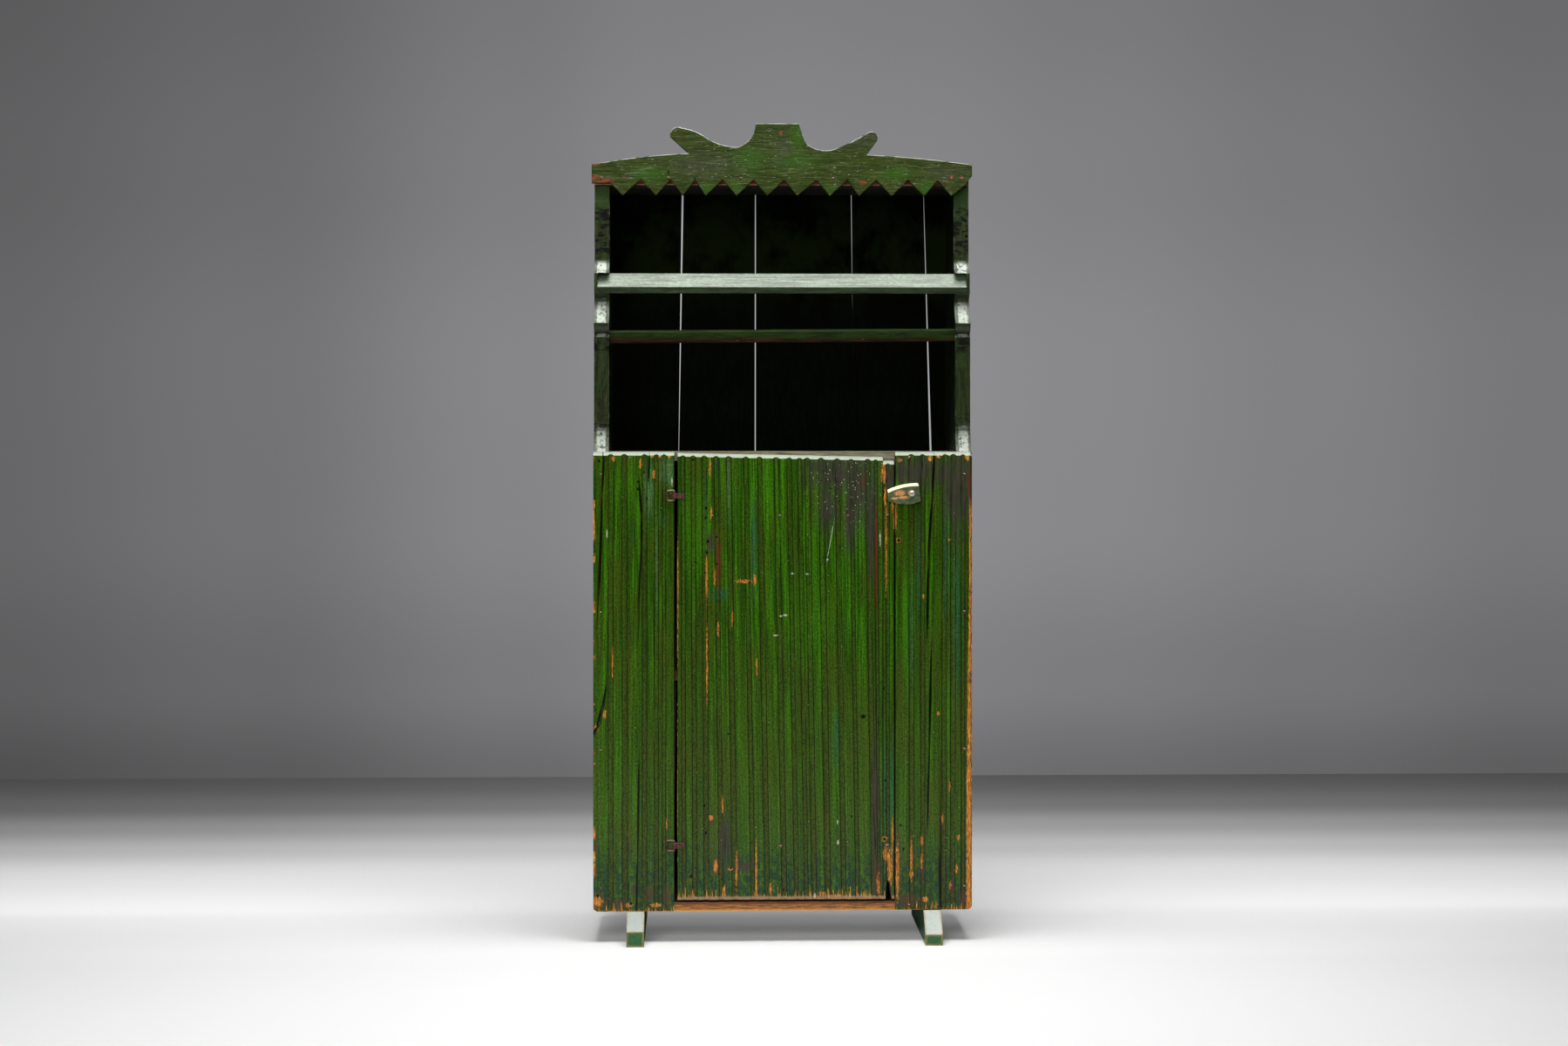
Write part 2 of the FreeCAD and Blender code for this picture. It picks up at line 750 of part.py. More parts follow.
def hinge_loop(label, level):
    """Closed iron loop of eight-sided bar. Its right limb is the hinge pin, and two
    spurs behind its left limb are driven into the fixed board."""
    body = new_body(label, HINGE_X, "0", level)
    spine = draw(new_sketch(body, "XZ_Plane", "Size.hinge_proud"), loop_line())
    turns = [math.tau * side / HAMMERED_SIDES for side in range(HAMMERED_SIDES)]
    section = draw(new_sketch(body, "XY_Plane"), [
        (mm.hinge_pin_radius * math.cos(turn) - mm.loop_wide,
         mm.hinge_pin_radius * math.sin(turn) - mm.hinge_proud, 0) for turn in turns])
    bar = body.newObject("PartDesign::AdditivePipe", label + "_bar")
    bar.Profile = section
    bar.Spine = spine
    bar.Transition = "Right corner"
    spurs = new_sketch(body, "XZ_Plane", "Size.hinge_proud")
    for side in (-1, 1):
        circle(spurs, -mm.loop_wide, side * mm.loop_high / 4, mm.spur_radius)
    pad(body, spurs, "Size.hinge_proud + Size.spur_deep", reverse=True)


def hinge_strap(label, level):
    """Iron strap bent round the loop's pin and driven into the door."""
    body = new_body(label, HINGE_X, "0", level)
    barrel = circle(new_sketch(body, "XY_Plane"), 0, -mm.hinge_proud, mm.barrel_radius)
    pad(body, barrel, "Size.strap_high", both_ways=True)
    plate = draw_box(new_sketch(body, "XY_Plane"), 0, -mm.strap_thick, mm.strap_long, 0)
    strap = pad(body, plate, "Size.strap_high", both_ways=True)
    ends = edges_where(strap, lambda p: same(p.x, mm.strap_long))
    corners = [name for name in ends if crosses_depth(strap, name)]
    dress(body, "PartDesign::Fillet", strap, corners, "Radius", "Size.strap_round")
    bore = circle(new_sketch(body, "XY_Plane"), 0, -mm.hinge_proud,
                  mm.hinge_pin_radius + mm.hinge_clearance)
    hole = pocket(body, bore, "Size.strap_high")
    hole.SideType = "Symmetric"
    spurs = new_sketch(body, "XZ_Plane")
    for side in (-1, 1):
        circle(spurs, mm.strap_long / 2, side * mm.strap_high / 4, mm.spur_radius)
    pad(body, spurs, "Size.spur_deep", reverse=True)


for place, level in HINGE_LEVELS.items():
    hinge_loop(f"{place}_hinge_loop", level)
    hinge_strap(f"{place}_hinge_strap", level)


# Turn button and its nail, both drawn about the nail

BUTTON_X = "Size.cabinet_wide / 2 - Size.right_board_wide + Size.button_inset"
BUTTON_Z = f"{FRONT_TOP} - Size.button_drop"
# Outline in shares of the button's length and height, with each stretch's bulge
BUTTON_SHARES = [
    (-0.697, -0.370, 0),
    (-0.029, -0.498, -0.05),
    (0.261, -0.357, -0.02),
    (0.209, 0.363, 0),
    (0.181, 0.485, 0),
    (-0.740, 0.163, -0.058),
]
BEVEL_END_SHARE = 0.2
# Flat middle of the nail's head as a share of its radius, and rim as a share of its height
HEAD_FLAT_SHARE = 0.55
HEAD_RIM_SHARE = 0.35


def turn_button():
    """Hand-cut wooden button with a bevel along its upper edge."""
    body = new_body("turn_button", BUTTON_X, "0", BUTTON_Z)
    sketch = draw(new_sketch(body, "XZ_Plane", "Size.button_gap"), [
        (x * mm.button_long, up * mm.button_high, bulge) for x, up, bulge in BUTTON_SHARES])
    block = pad(body, sketch, "Size.button_thick")
    face = -mm.button_gap - mm.button_thick
    bevel_end = BEVEL_END_SHARE * mm.button_long
    edges = edges_where(block, lambda p: same(p.y, face) and p.z > 0 and p.x < bevel_end)
    dress(body, "PartDesign::Chamfer", block, edges, "Size", "Size.button_bevel")
    hole = circle(new_sketch(body, "XZ_Plane"), 0, 0, mm.pivot_radius + mm.pivot_fit)
    cut = pocket(body, hole, "Size.button_thick + 2 * Size.button_gap", reverse=True)
    cut.Type = "ThroughAll"


def turn_button_nail():
    """Round nail with a head hammered to a low dome, driven into the board."""
    body = new_body("turn_button_nail", BUTTON_X, "0", BUTTON_Z)
    head_back = -mm.button_thick - 2 * mm.button_gap
    head_front = head_back - mm.pivot_head_high
    half_profile = draw(new_sketch(body, "XY_Plane"), [
        (0, head_front, 0),
        (HEAD_FLAT_SHARE * mm.pivot_head_radius, head_front, 0),
        (mm.pivot_head_radius, head_back - HEAD_RIM_SHARE * mm.pivot_head_high, 0),
        (mm.pivot_head_radius, head_back, 0),
        (mm.pivot_radius, head_back, 0),
        (mm.pivot_radius, mm.pivot_deep, 0),
        (0, mm.pivot_deep + mm.pivot_radius, 0),
    ])
    nail = body.newObject("PartDesign::Revolution", "turn_button_nail_turned")
    nail.Profile = half_profile
    nail.ReferenceAxis = (half_profile, ["V_Axis"])
    nail.Angle = 360


turn_button()
turn_button_nail()


# Forged nails, each group a set of separate solids

def square(wide, up):
    """A square wire centred on the vertical axis."""
    half = wide / 2
    corners = [(-half, -half), (half, -half), (half, half), (-half, half), (-half, -half)]
    return Part.makePolygon([V(x, y, up) for x, y in corners])


def forged_nail(long):
    """A nail that points down from the origin, with a tapered square shank."""
    shank = Part.makeLoft([square(mm.nail_wide, 0), square(mm.nail_tip, -long)], True)
    head = Part.makeLoft([square(mm.nail_head_wide, 0),
                          square(mm.nail_wide, mm.nail_head_high)], True)
    return shank.fuse(head).removeSplitter()


def nails_at(places, direction, long):
    """Nails at (across, setback, up) places, all driven in one direction."""
    nails = []
    for across, setback, up in places:
        nail = forged_nail(long)
        nail.Placement = FreeCAD.Placement(
            V(across, setback, up), FreeCAD.Rotation(V(0, 0, -1), direction))
        nails.append(nail)
    return nails


def nail_group(label, nails):
    """One node that holds a set of nails."""
    group = doc.addObject("Part::Feature", label)
    group.Label = label
    group.Shape = Part.makeCompound(nails)
    bind(group, {"Placement.Base.y": FRONT_Y})
    subparts.append(group)


BACKWARD = V(0, 1, 0)
FORWARD = V(0, -1, 0)
DOWNWARD = V(0, 0, -1)
PAIR_SHARES = [0.25, 0.75]
sink = mm.nail_head_high - mm.nail_proud
side_middle = half_wide - mm.side_thick / 2
bottom_middle = mm.runner_high + mm.bottom_thick / 2

# Heights of the nails up the sides, and places across the boards between
SIDE_NAIL_SHARES = [0.05, 0.35, 0.65, 0.95]
BOARD_NAIL_SHARES = [0.45, 0.82]
COUNTER_NAIL_SHARE = 0.65
front_places = [
    (side * side_middle, sink, mm.runner_high + share * mm.front_high)
    for side in (-1, 1) for share in SIDE_NAIL_SHARES
]
for share in BOARD_NAIL_SHARES:
    for up in (bottom_middle, front_top - mm.shelf_thick * COUNTER_NAIL_SHARE):
        front_places.append((left_face + share * mm.left_board_wide, sink, up))
        front_places.append((right_face - share * mm.right_board_wide, sink, up))
nail_group("front_board_nails", nails_at(front_places, BACKWARD, mm.nail_long))

# Nails of the back boards: across each board at the roof, the counter and the floor
back_places = []
for left_up, right_up, left_low, right_low in BACK_SHARES:
    for up in (roof_top - mm.shelf_thick / 2, front_top - mm.shelf_thick / 2, bottom_middle):
        climb = (up - mm.runner_high) / (roof_top - mm.runner_high)
        left = half_wide * (left_low + climb * (left_up - left_low))
        right = half_wide * (right_low + climb * (right_up - right_low))
        for share in PAIR_SHARES:
            back_places.append((left + share * (right - left),
                                mm.frame_deep + mm.back_thick - sink, up))
nail_group("back_board_nails", nails_at(back_places, FORWARD, mm.nail_long))

# Nails of the crest, as shares of half the cabinet's width, level with the roof board
CREST_NAIL_SHARES = [-0.963, -0.606, -0.221, 0.271, 0.902, 0.958]
CREST_NAIL_RISE_SHARE = 0.85
crest_places = [
    (share * half_wide, mm.upper_setback - mm.crest_thick + sink,
     hutch_top + CREST_NAIL_RISE_SHARE * mm.shelf_thick)
    for share in CREST_NAIL_SHARES
]
nail_group("crest_nails", nails_at(crest_places, BACKWARD, mm.nail_long))

roof_places = [
    (side * side_middle, mm.upper_setback + share * (mm.frame_deep - mm.upper_setback),
     roof_top - sink)
    for side in (-1, 1) for share in PAIR_SHARES
]
nail_group("top_board_nails", nails_at(roof_places, DOWNWARD, mm.nail_long))

runner_middles = (
    left_face + mm.left_runner_inset + mm.runner_wide / 2,
    right_face - mm.right_runner_inset - mm.runner_wide / 2,
)
runner_places = [
    (across, share * mm.frame_deep, mm.runner_high + mm.bottom_thick - sink)
    for across in runner_middles for share in PAIR_SHARES
]
nail_group("runner_nails", nails_at(runner_places, DOWNWARD, mm.nail_long))

# Nails of the door, as shares of the wide board; the last of each row is in the strip
DOOR_NAIL_SHARES = [0.17, 0.5, 0.83, 1.02]
door_places = [
    (door_left + share * door_board_wide, sink, mm.runner_high + level * mm.front_high)
    for level in (LOWER_BATTEN_SHARE, UPPER_BATTEN_SHARE) for share in DOOR_NAIL_SHARES
]
nail_group("door_nails", nails_at(
    door_places, BACKWARD, mm.front_thick + mm.batten_thick - mm.nail_cover))

cleat_nails = []
for side in (-1, 1):
    cleat_places = [
        (side * (inner_wide / 2 - mm.cleat_thick + sink),
         mm.frame_deep - share * mm.cleat_long,
         mm.runner_high + mm.front_high / 2 - mm.cleat_thick / 2)
        for share in PAIR_SHARES
    ]
    cleat_nails += nails_at(cleat_places, V(side, 0, 0), mm.nail_long)
nail_group("cleat_nails", cleat_nails)

# Every object has to be sound before anything is written
doc.recompute()
for obj in doc.Objects:
    if "Invalid" in obj.State or "Error" in obj.State:
        raise RuntimeError(f"{obj.Label} failed: {obj.State}")
os.makedirs("parts", exist_ok=True)
for piece in subparts:
    if piece.Shape.isNull() or not piece.Shape.isValid() or not piece.Shape.Solids:
        raise RuntimeError(f"{piece.Label} has no sound solid")
for piece in subparts:
    piece.Shape.exportStep(f"parts/{piece.Label}.step")
    print(piece.Label, len(piece.Shape.Solids), round(piece.Shape.Volume))
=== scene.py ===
import math

import bpy
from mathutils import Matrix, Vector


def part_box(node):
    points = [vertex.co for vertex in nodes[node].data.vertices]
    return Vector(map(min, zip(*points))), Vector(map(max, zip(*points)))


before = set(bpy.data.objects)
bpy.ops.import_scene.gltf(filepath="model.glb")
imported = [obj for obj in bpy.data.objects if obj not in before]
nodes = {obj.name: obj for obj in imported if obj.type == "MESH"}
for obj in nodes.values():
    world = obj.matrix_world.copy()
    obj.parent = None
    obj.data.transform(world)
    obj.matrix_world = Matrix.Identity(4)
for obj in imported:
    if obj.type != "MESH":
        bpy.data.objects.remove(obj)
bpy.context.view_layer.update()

# How the photograph was taken: its size and focal length in pixels, and the pixel
# towards which the cupboard's depth runs
PHOTO_WIDE = 1799
PHOTO_HIGH = 1200
FOCAL_PIXELS = 3147
DEPTH_COLUMN = 800
DEPTH_ROW = 495
# Where it stood, in metres: how far before the door, how far to the side and how high
CAMERA_DISTANCE = 5.8
CAMERA_X = -0.1815
CAMERA_Z = 1.080
SENSOR_MM = 36

# Where the boards lie
door_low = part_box("door_board")[0]
front_y = door_low.y
left_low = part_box("left_front_board")[0]
right_low, right_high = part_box("right_front_board")
side_low, side_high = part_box("left_side_board")
crest_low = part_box("crest_board")[0]
back_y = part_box("back_board_1")[0].y


def spot_of(column, row, setback=0.0):
    """X and Z of a pixel of the photograph, on an upright plane behind the front."""
    metres = (CAMERA_DISTANCE + setback) / FOCAL_PIXELS
    return CAMERA_X + (column - DEPTH_COLUMN) * metres, CAMERA_Z + (DEPTH_ROW - row) * metres


# Camera and studio

def set_camera():
    """The photograph's camera: level, turned a little towards the cupboard's right."""
    turn = math.atan((PHOTO_WIDE / 2 - DEPTH_COLUMN) / FOCAL_PIXELS)
    data = bpy.data.cameras.new("camera")
    data.sensor_width = SENSOR_MM
    data.lens = FOCAL_PIXELS / PHOTO_WIDE * data.sensor_width
    data.shift_y = (DEPTH_ROW - PHOTO_HIGH / 2) / PHOTO_WIDE
    camera = bpy.data.objects.new("camera", data)
    camera.location = (CAMERA_X, front_y - CAMERA_DISTANCE, CAMERA_Z)
    camera.rotation_euler = (math.pi / 2, 0, -turn)
    bpy.context.collection.objects.link(camera)
    bpy.context.scene.camera = camera


def soft_lamp(name, place, aim, wide, long, watts, diffuse=True, gloss=False):
    """A rectangular studio lamp that the camera doesn't see."""
    data = bpy.data.lights.new(name, "AREA")
    data.shape = "RECTANGLE"
    data.size = wide
    data.size_y = long
    data.energy = watts
    lamp = bpy.data.objects.new(name, data)
    lamp.location = place
    way = Vector(aim) - Vector(place)
    lamp.rotation_euler = way.to_track_quat("-Z", "Y").to_euler()
    lamp.visible_camera = False
    lamp.visible_diffuse = diffuse
    lamp.visible_glossy = gloss
    bpy.context.collection.objects.link(lamp)


# How smooth the old varnish over the paint is
VARNISH_ROUGHNESS = 0.16
# The seed of the unevenness that frays the edges of marks
RAGGED_SEED = 7.7


class Finish:
    """The nodes of one finish, laid out on the piece's own Object coordinates."""

    def __init__(self, name, roughness=0.5, metallic=0.0, varnish=0.0, shine=0.5):
        self.material = bpy.data.materials.new(name)
        self.material.use_nodes = True
        self.tree = self.material.node_tree
        self.shader = self.tree.nodes["Principled BSDF"]
        self.shader.inputs["Metallic"].default_value = metallic
        self.shader.inputs["Roughness"].default_value = roughness
        self.shader.inputs["Specular IOR Level"].default_value = shine
        self.shader.inputs["Coat Weight"].default_value = varnish
        self.shader.inputs["Coat Roughness"].default_value = VARNISH_ROUGHNESS
        self.place = self.node("ShaderNodeTexCoord").outputs["Object"]
        parts = self.node("ShaderNodeSeparateXYZ", Vector=self.place)
        self.x, self.y, self.z = parts.outputs
        self.height = self.node("ShaderNodeCombineXYZ", X=self.z).outputs[0]
        self.surface = self.node("ShaderNodeNewGeometry")
        facing = self.node("ShaderNodeSeparateXYZ", Vector=self.surface.outputs["True Normal"])
        self.facing_x, self.facing_y, self.facing_z = facing.outputs

    def node(self, kind, settings=None, **inputs):
        """A node with its sockets filled, each by a value or by another node's output."""
        made = self.tree.nodes.new(kind)
        for name, value in (settings or {}).items():
            setattr(made, name, value)
        for name, value in inputs.items():
            self.feed(made.inputs[name.replace("_", " ")], value)
        return made

    def feed(self, socket, value):
        """Fills a socket with a value or with another node's output."""
        if isinstance(value, bpy.types.NodeSocket):
            self.tree.links.new(value, socket)
        else:
            socket.default_value = value

    def sum(self, operation, *values):
        """A calculation with values or other nodes' outputs."""
        made = self.node("ShaderNodeMath", {"operation": operation})
        for socket, value in zip(made.inputs, values):
            self.feed(socket, value)
        return made.outputs[0]

    def times(self, one, other):
        """One value times another."""
        return self.sum("MULTIPLY", one, other)

    def either(self, one, other):
        """The larger of two shares."""
        return self.sum("MAXIMUM", one, other)

    def without(self, share):
        """What a share leaves over."""
        return self.sum("SUBTRACT", 1.0, share)

    def line(self, value, slope, start):
        """The start plus the slope times the value."""
        return self.sum("MULTIPLY_ADD", value, slope, start)

    def rise(self, value, low, high):
        """0 below low and 1 above high, or the other way round where low is above high."""
        made = self.node("ShaderNodeMapRange", {"interpolation_type": "SMOOTHSTEP"})
        for socket, number in zip(made.inputs, (value, low, high)):
            self.feed(socket, number)
        return made.outputs[0]

    def window(self, value, low, high, soft):
        """1 between two places, with soft ends."""
        return self.times(self.rise(value, low - soft, low + soft),
                          self.rise(value, high + soft, high - soft))

    def sideways(self, low, high):
        """1 on what faces left or right."""
        return self.rise(self.sum("ABSOLUTE", self.facing_x), low, high)

    def grain(self, size, seed=0.0, detail=4.0, warp=0.0, place=None):
        """Cloudy variation from 0 to 1 whose features have the given size in metres."""
        spread = self.node("ShaderNodeMapping", Vector=place or self.place,
                           Scale=[1 / length for length in size],
                           Location=(seed, 2 * seed, 3 * seed))
        made = self.node("ShaderNodeTexNoise", Vector=spread.outputs[0], Scale=1.0,
                         Detail=detail, Roughness=0.6, Distortion=warp)
        return made.outputs[0]

    def patches(self, size, seed, low, high, **shape):
        """Patches of the given size, 0 where that variation is low and 1 where it is high."""
        return self.rise(self.grain(size, seed, **shape), low, high)

    def wander(self, size, width):
        """Uneven shifts to both sides, as wide as the width in all."""
        return self.line(self.grain(size, RAGGED_SEED), width, -width / 2)

    def flecks(self, size, radius, share, seed=0.0):
        """Small round flecks, one in some cells of a loose grid in X and Z."""
        spread = self.node("ShaderNodeMapping", Vector=self.place,
                           Scale=(1 / size[0], 0, 1 / size[1]), Location=(seed, 0, seed))
        cells = self.node("ShaderNodeTexVoronoi", Vector=spread.outputs[0], Scale=1.0)
        kept = self.node("ShaderNodeSeparateColor", Color=cells.outputs["Color"])
        near = self.rise(cells.outputs["Distance"], radius, 0.5 * radius)
        return self.times(near, self.rise(kept.outputs[0], 1 - share, 1 - 0.8 * share))

    def stretch(self, vector, times, more):
        """A vector times another plus a third."""
        made = self.node("ShaderNodeVectorMath", {"operation": "MULTIPLY_ADD"})
        for socket, value in zip(made.inputs, (vector, times, more)):
            self.feed(socket, value)
        return made.outputs[0]

    def ovals(self, marks, ragged=None, setback=0.0, soft=0.35):
        """1 inside any of the marks, each its middle and half size in the photograph, and
        how many columns it leans to the left from its top down, where it leans."""
        covered = 0.0
        metres = (CAMERA_DISTANCE + setback) / FOCAL_PIXELS
        for column, row, half_wide, half_high, *lean in marks:
            x, z = spot_of(column, row, setback)
            wide, high = half_wide * metres, half_high * metres
            slope = lean[0] / (2 * half_high) if lean else 0.0
            moved = self.stretch(self.place, (1 / wide, 0, 1 / high),
                                 ((z * slope - x) / wide, 0, -z / high))
            if lean:
                moved = self.stretch(self.height, (-slope / wide, 0, 0), moved)
            away = self.node("ShaderNodeVectorMath", {"operation": "LENGTH"},
                             Vector=moved).outputs["Value"]
            if ragged is not None:
                away = self.sum("ADD", away, ragged)
            covered = self.either(covered, self.rise(away, 1 + soft, 1 - soft))
        return covered

    def mix(self, share, one, other):
        """A colour between two others."""
        made = self.node("ShaderNodeMix", {"data_type": "RGBA"})
        self.feed(made.inputs[0], share)
        for socket, colour in zip(made.inputs[6:8], (one, other)):
            self.feed(socket, (*colour, 1.0) if isinstance(colour, tuple) else colour)
        return made.outputs[2]

    def lay(self, colour, mask, other, share):
        """The colour with a share of another over it, inside the mask."""
        return self.mix(self.times(mask, share), colour, other)

    def speckle(self, colour, size, least, most, seed=0.0):
        """The colour made darker and lighter in small uneven patches."""
        cloud = self.patches(size, seed, 0.3, 0.7, detail=3.0)
        spread = self.line(cloud, most - least, least)
        return self.node("ShaderNodeHueSaturation", Value=spread, Color=colour).outputs[0]

    def rounded(self, radius):
        """The surface's direction with its arrises rounded off, and 1 on those arrises."""
        soft = self.node("ShaderNodeBevel", {"samples": 4}, Radius=radius).outputs[0]
        along = self.node("ShaderNodeVectorMath", {"operation": "DOT_PRODUCT"})
        self.feed(along.inputs[0], soft)
        self.feed(along.inputs[1], self.surface.outputs["True Normal"])
        return soft, self.rise(along.outputs["Value"], 0.99, 0.88)

    def raise_surface(self, *layers, over=None):
        """Bump from layers of (height, depth in metres), over a rounded surface."""
        normal = over
        for height, depth in layers:
            bump = self.node("ShaderNodeBump", Height=height, Distance=depth)
            if normal is not None:
                self.feed(bump.inputs["Normal"], normal)
            normal = bump.outputs[0]
        self.feed(self.shader.inputs["Normal"], normal)
        self.feed(self.shader.inputs["Coat Normal"], normal)

    def done(self, colour, roughness=None):
        """The material, once its colour and its roughness are laid on."""
        self.feed(self.shader.inputs["Base Color"], colour)
        if roughness is not None:
            self.feed(self.shader.inputs["Roughness"], roughness)
        return self.material


STUDIO_HALF = 15.0
WALL_Y = 2.656
WALL_LOW = -0.01
WALL_HIGH = 8
# Tones of the studio, painted light that falls off from the wall's foot up, from the left
# of the wall to its right, and from the front of the floor to the wall: places in metres and how
# bright it is
WALL_RISE = [(0.0, 0.145), (0.3, 0.195), (0.8, 0.238), (1.3, 0.242), (1.9, 0.21), (2.5, 0.185)]
WALL_ACROSS = [(-2.4, 0.56), (-1.55, 0.71), (-0.75, 0.98), (-0.3, 1.12), (0.1, 1.15),
               (0.5, 1.12), (1.05, 1.03), (1.75, 0.91), (2.45, 0.77)]
# The lamp's patch of light on the wall, behind the cupboard
PATCH_LEFT = -0.40
PATCH_RIGHT = 0.56
PATCH_TOP = 1.78
PATCH_SOFT = 0.09
PATCH_TIMES = 0.9
FLOOR_BACK = [(-4.0, 0.12), (-2.2, 0.5), (-1.2, 0.97), (-0.35, 0.97), (-0.1, 0.95), (0.3, 0.88),
              (0.85, 0.78), (1.19, 0.62), (1.57, 0.4), (1.98, 0.235), (2.4, 0.16), (2.65, 0.16)]
# How much the pale floor glows towards the camera, from front to back
FLOOR_GLOW = [(-0.4, 0.0), (-0.14, 0.06), (0.0, 0.10), (0.13, 0.19), (0.3, 0.33), (0.7, 0.30),
              (1.19, 0.19), (1.57, 0.14), (1.98, 0.08), (2.65, 0.05)]
# From where to where the floor takes on the wall's tones across
FLOOR_FAR = (0.6, 2.0)
# How far the tones of the floor and the wall vary, and in patches of what size
UNEVEN = 0.03
FLOOR_CLOUDS = (0.4, 0.4, 1)
WALL_CLOUDS = (0.6, 1, 0.6)
# How much bluer than grey the wall is
WALL_BLUE = 1.03
# Lamps: name, place, what they point at, width, length and watts
LAMPS = [("overhead_lamp", (0, -0.55, 3.0), (0, -0.45, 0), 1.7, 1.2, 80),
         ("front_lamp", (-1.2, -4.8, 2.6), (0, 0, 0.8), 2.5, 2.5, 120)]
# A last one that only shows as gloss on the varnish
GLOSS_PANEL = ("gloss_panel", (0, -0.9, 3.3), (0, -0.9, 0), 3.0, 3.0, 190)
# The air: its tone to the camera, and its light from the horizon to high up
AIR_GREY = 0.22
AIR_HEIGHTS = (0.0, 0.8)
AIR_LIGHT = (0.04, 0.5)


def tone(finish, value, steps):
    """Brightness that follows steps of (place, tone)."""
    low, high = steps[0][0], steps[-1][0]
    spread = finish.node("ShaderNodeMapRange", Value=value, From_Min=low, From_Max=high)
    ramp = finish.node("ShaderNodeValToRGB", Fac=spread.outputs[0])
    ramp.color_ramp.interpolation = "EASE"
    most = max(level for _, level in steps)
    stops = ramp.color_ramp.elements
    for place, _ in steps[1:-1]:
        stops.new((place - low) / (high - low))
    for stop, (_, level) in zip(stops, steps):
        stop.color = [level / most] * 3 + [1]
    return finish.times(ramp.outputs[0], most)


def studio_sheet(name, first, last):
    """A flat sheet across the studio, from the Y and Z of one edge to those of the other."""
    mesh = bpy.data.meshes.new(name)
    mesh.from_pydata([(-STUDIO_HALF, *first), (STUDIO_HALF, *first), (STUDIO_HALF, *last),
                      (-STUDIO_HALF, *last)], [], [(0, 1, 2, 3)])
    sheet = bpy.data.objects.new(name, mesh)
    bpy.context.collection.objects.link(sheet)
    return sheet


def uneven(finish, grey, size):
    """The tone made a little cloudy."""
    cloud = finish.times(finish.grain(size), UNEVEN)
    return finish.times(grey, finish.sum("ADD", 1 - UNEVEN / 2, cloud))


def studio_floor():
    """Pale paper, darker towards the wall in painted light falloff, that glows a little towards
    the camera.
    """
    floor = studio_sheet("floor", (-STUDIO_HALF, 0), (STUDIO_HALF, 0))
    paper = Finish("white_floor", roughness=0.7, shine=0.1)
    far = paper.rise(paper.y, *FLOOR_FAR)
    across = paper.times(far, tone(paper, paper.x, WALL_ACROSS))
    grey = paper.times(tone(paper, paper.y, FLOOR_BACK),
                       paper.sum("ADD", paper.without(far), across))
    grey = uneven(paper, grey, FLOOR_CLOUDS)
    paper.done(paper.node("ShaderNodeCombineColor", Red=grey, Green=grey, Blue=grey).outputs[0])
    path = paper.node("ShaderNodeLightPath")
    glow = paper.node("ShaderNodeEmission", Strength=paper.times(
        tone(paper, paper.y, FLOOR_GLOW), path.outputs["Is Camera Ray"]))
    both = paper.node("ShaderNodeAddShader")
    paper.feed(both.inputs[0], paper.shader.outputs[0])
    paper.feed(both.inputs[1], glow.outputs[0])
    paper.feed(paper.tree.nodes["Material Output"].inputs["Surface"], both.outputs[0])
    floor.data.materials.append(paper.material)


def studio_wall():
    """A grey wall, seen by the camera in tones of painted light, and clear from behind."""
    wall = studio_sheet("wall", (WALL_Y, WALL_LOW), (WALL_Y, WALL_HIGH))
    paint = Finish("grey_wall", roughness=0.8)
    grey = paint.times(tone(paint, paint.z, WALL_RISE), tone(paint, paint.x, WALL_ACROSS))
    patch = paint.times(paint.window(paint.x, PATCH_LEFT, PATCH_RIGHT, PATCH_SOFT),
                        paint.rise(paint.z, PATCH_TOP + PATCH_SOFT, PATCH_TOP - PATCH_SOFT))
    grey = paint.times(grey, paint.line(patch, PATCH_TIMES, 1.0))
    grey = uneven(paint, grey, WALL_CLOUDS)
    blue = paint.times(grey, WALL_BLUE)
    colour = paint.node("ShaderNodeCombineColor", Red=grey, Green=grey, Blue=blue).outputs[0]
    paint.done(colour)
    seen = paint.node("ShaderNodeEmission", Color=colour, Strength=1.0)
    path = paint.node("ShaderNodeLightPath")
    plain = paint.node("ShaderNodeMixShader", Fac=path.outputs["Is Camera Ray"])
    paint.feed(plain.inputs[1], paint.shader.outputs[0])
    paint.feed(plain.inputs[2], seen.outputs[0])
    clear = paint.node("ShaderNodeBsdfTransparent")
    front = paint.node("ShaderNodeMixShader", Fac=paint.surface.outputs["Backfacing"])
    paint.feed(front.inputs[1], plain.outputs[0])
    paint.feed(front.inputs[2], clear.outputs[0])
    paint.feed(paint.tree.nodes["Material Output"].inputs["Surface"], front.outputs[0])
    wall.data.materials.append(paint.material)


def studio_air():
    """Even grey to the camera, and light that grows with height to everything else."""
    world = bpy.data.worlds.new("studio_air")
    world.use_nodes = True
    tree = world.node_tree
    way = tree.nodes.new("ShaderNodeSeparateXYZ")
    tree.links.new(tree.nodes.new("ShaderNodeTexCoord").outputs["Generated"], way.inputs[0])
    dome = tree.nodes.new("ShaderNodeMapRange")
    for socket, number in zip(dome.inputs[1:5], AIR_HEIGHTS + AIR_LIGHT):
        socket.default_value = number
    tree.links.new(way.outputs[2], dome.inputs[0])
    seen = tree.nodes.new("ShaderNodeMix")
    tree.links.new(tree.nodes.new("ShaderNodeLightPath").outputs["Is Camera Ray"], seen.inputs[0])
    tree.links.new(dome.outputs[0], seen.inputs[2])
    seen.inputs[3].default_value = AIR_GREY
    tree.links.new(seen.outputs[0], tree.nodes["Background"].inputs["Strength"])
    bpy.context.scene.world = world


def studio():
    """Pale floor, grey wall, a large lamp overhead and a soft one in front."""
    studio_floor()
    studio_wall()
    for lamp in LAMPS:
        soft_lamp(*lamp)
    soft_lamp(*GLOSS_PANEL, diffuse=False, gloss=True)
    studio_air()
    bpy.context.scene.view_settings.view_transform = "Standard"


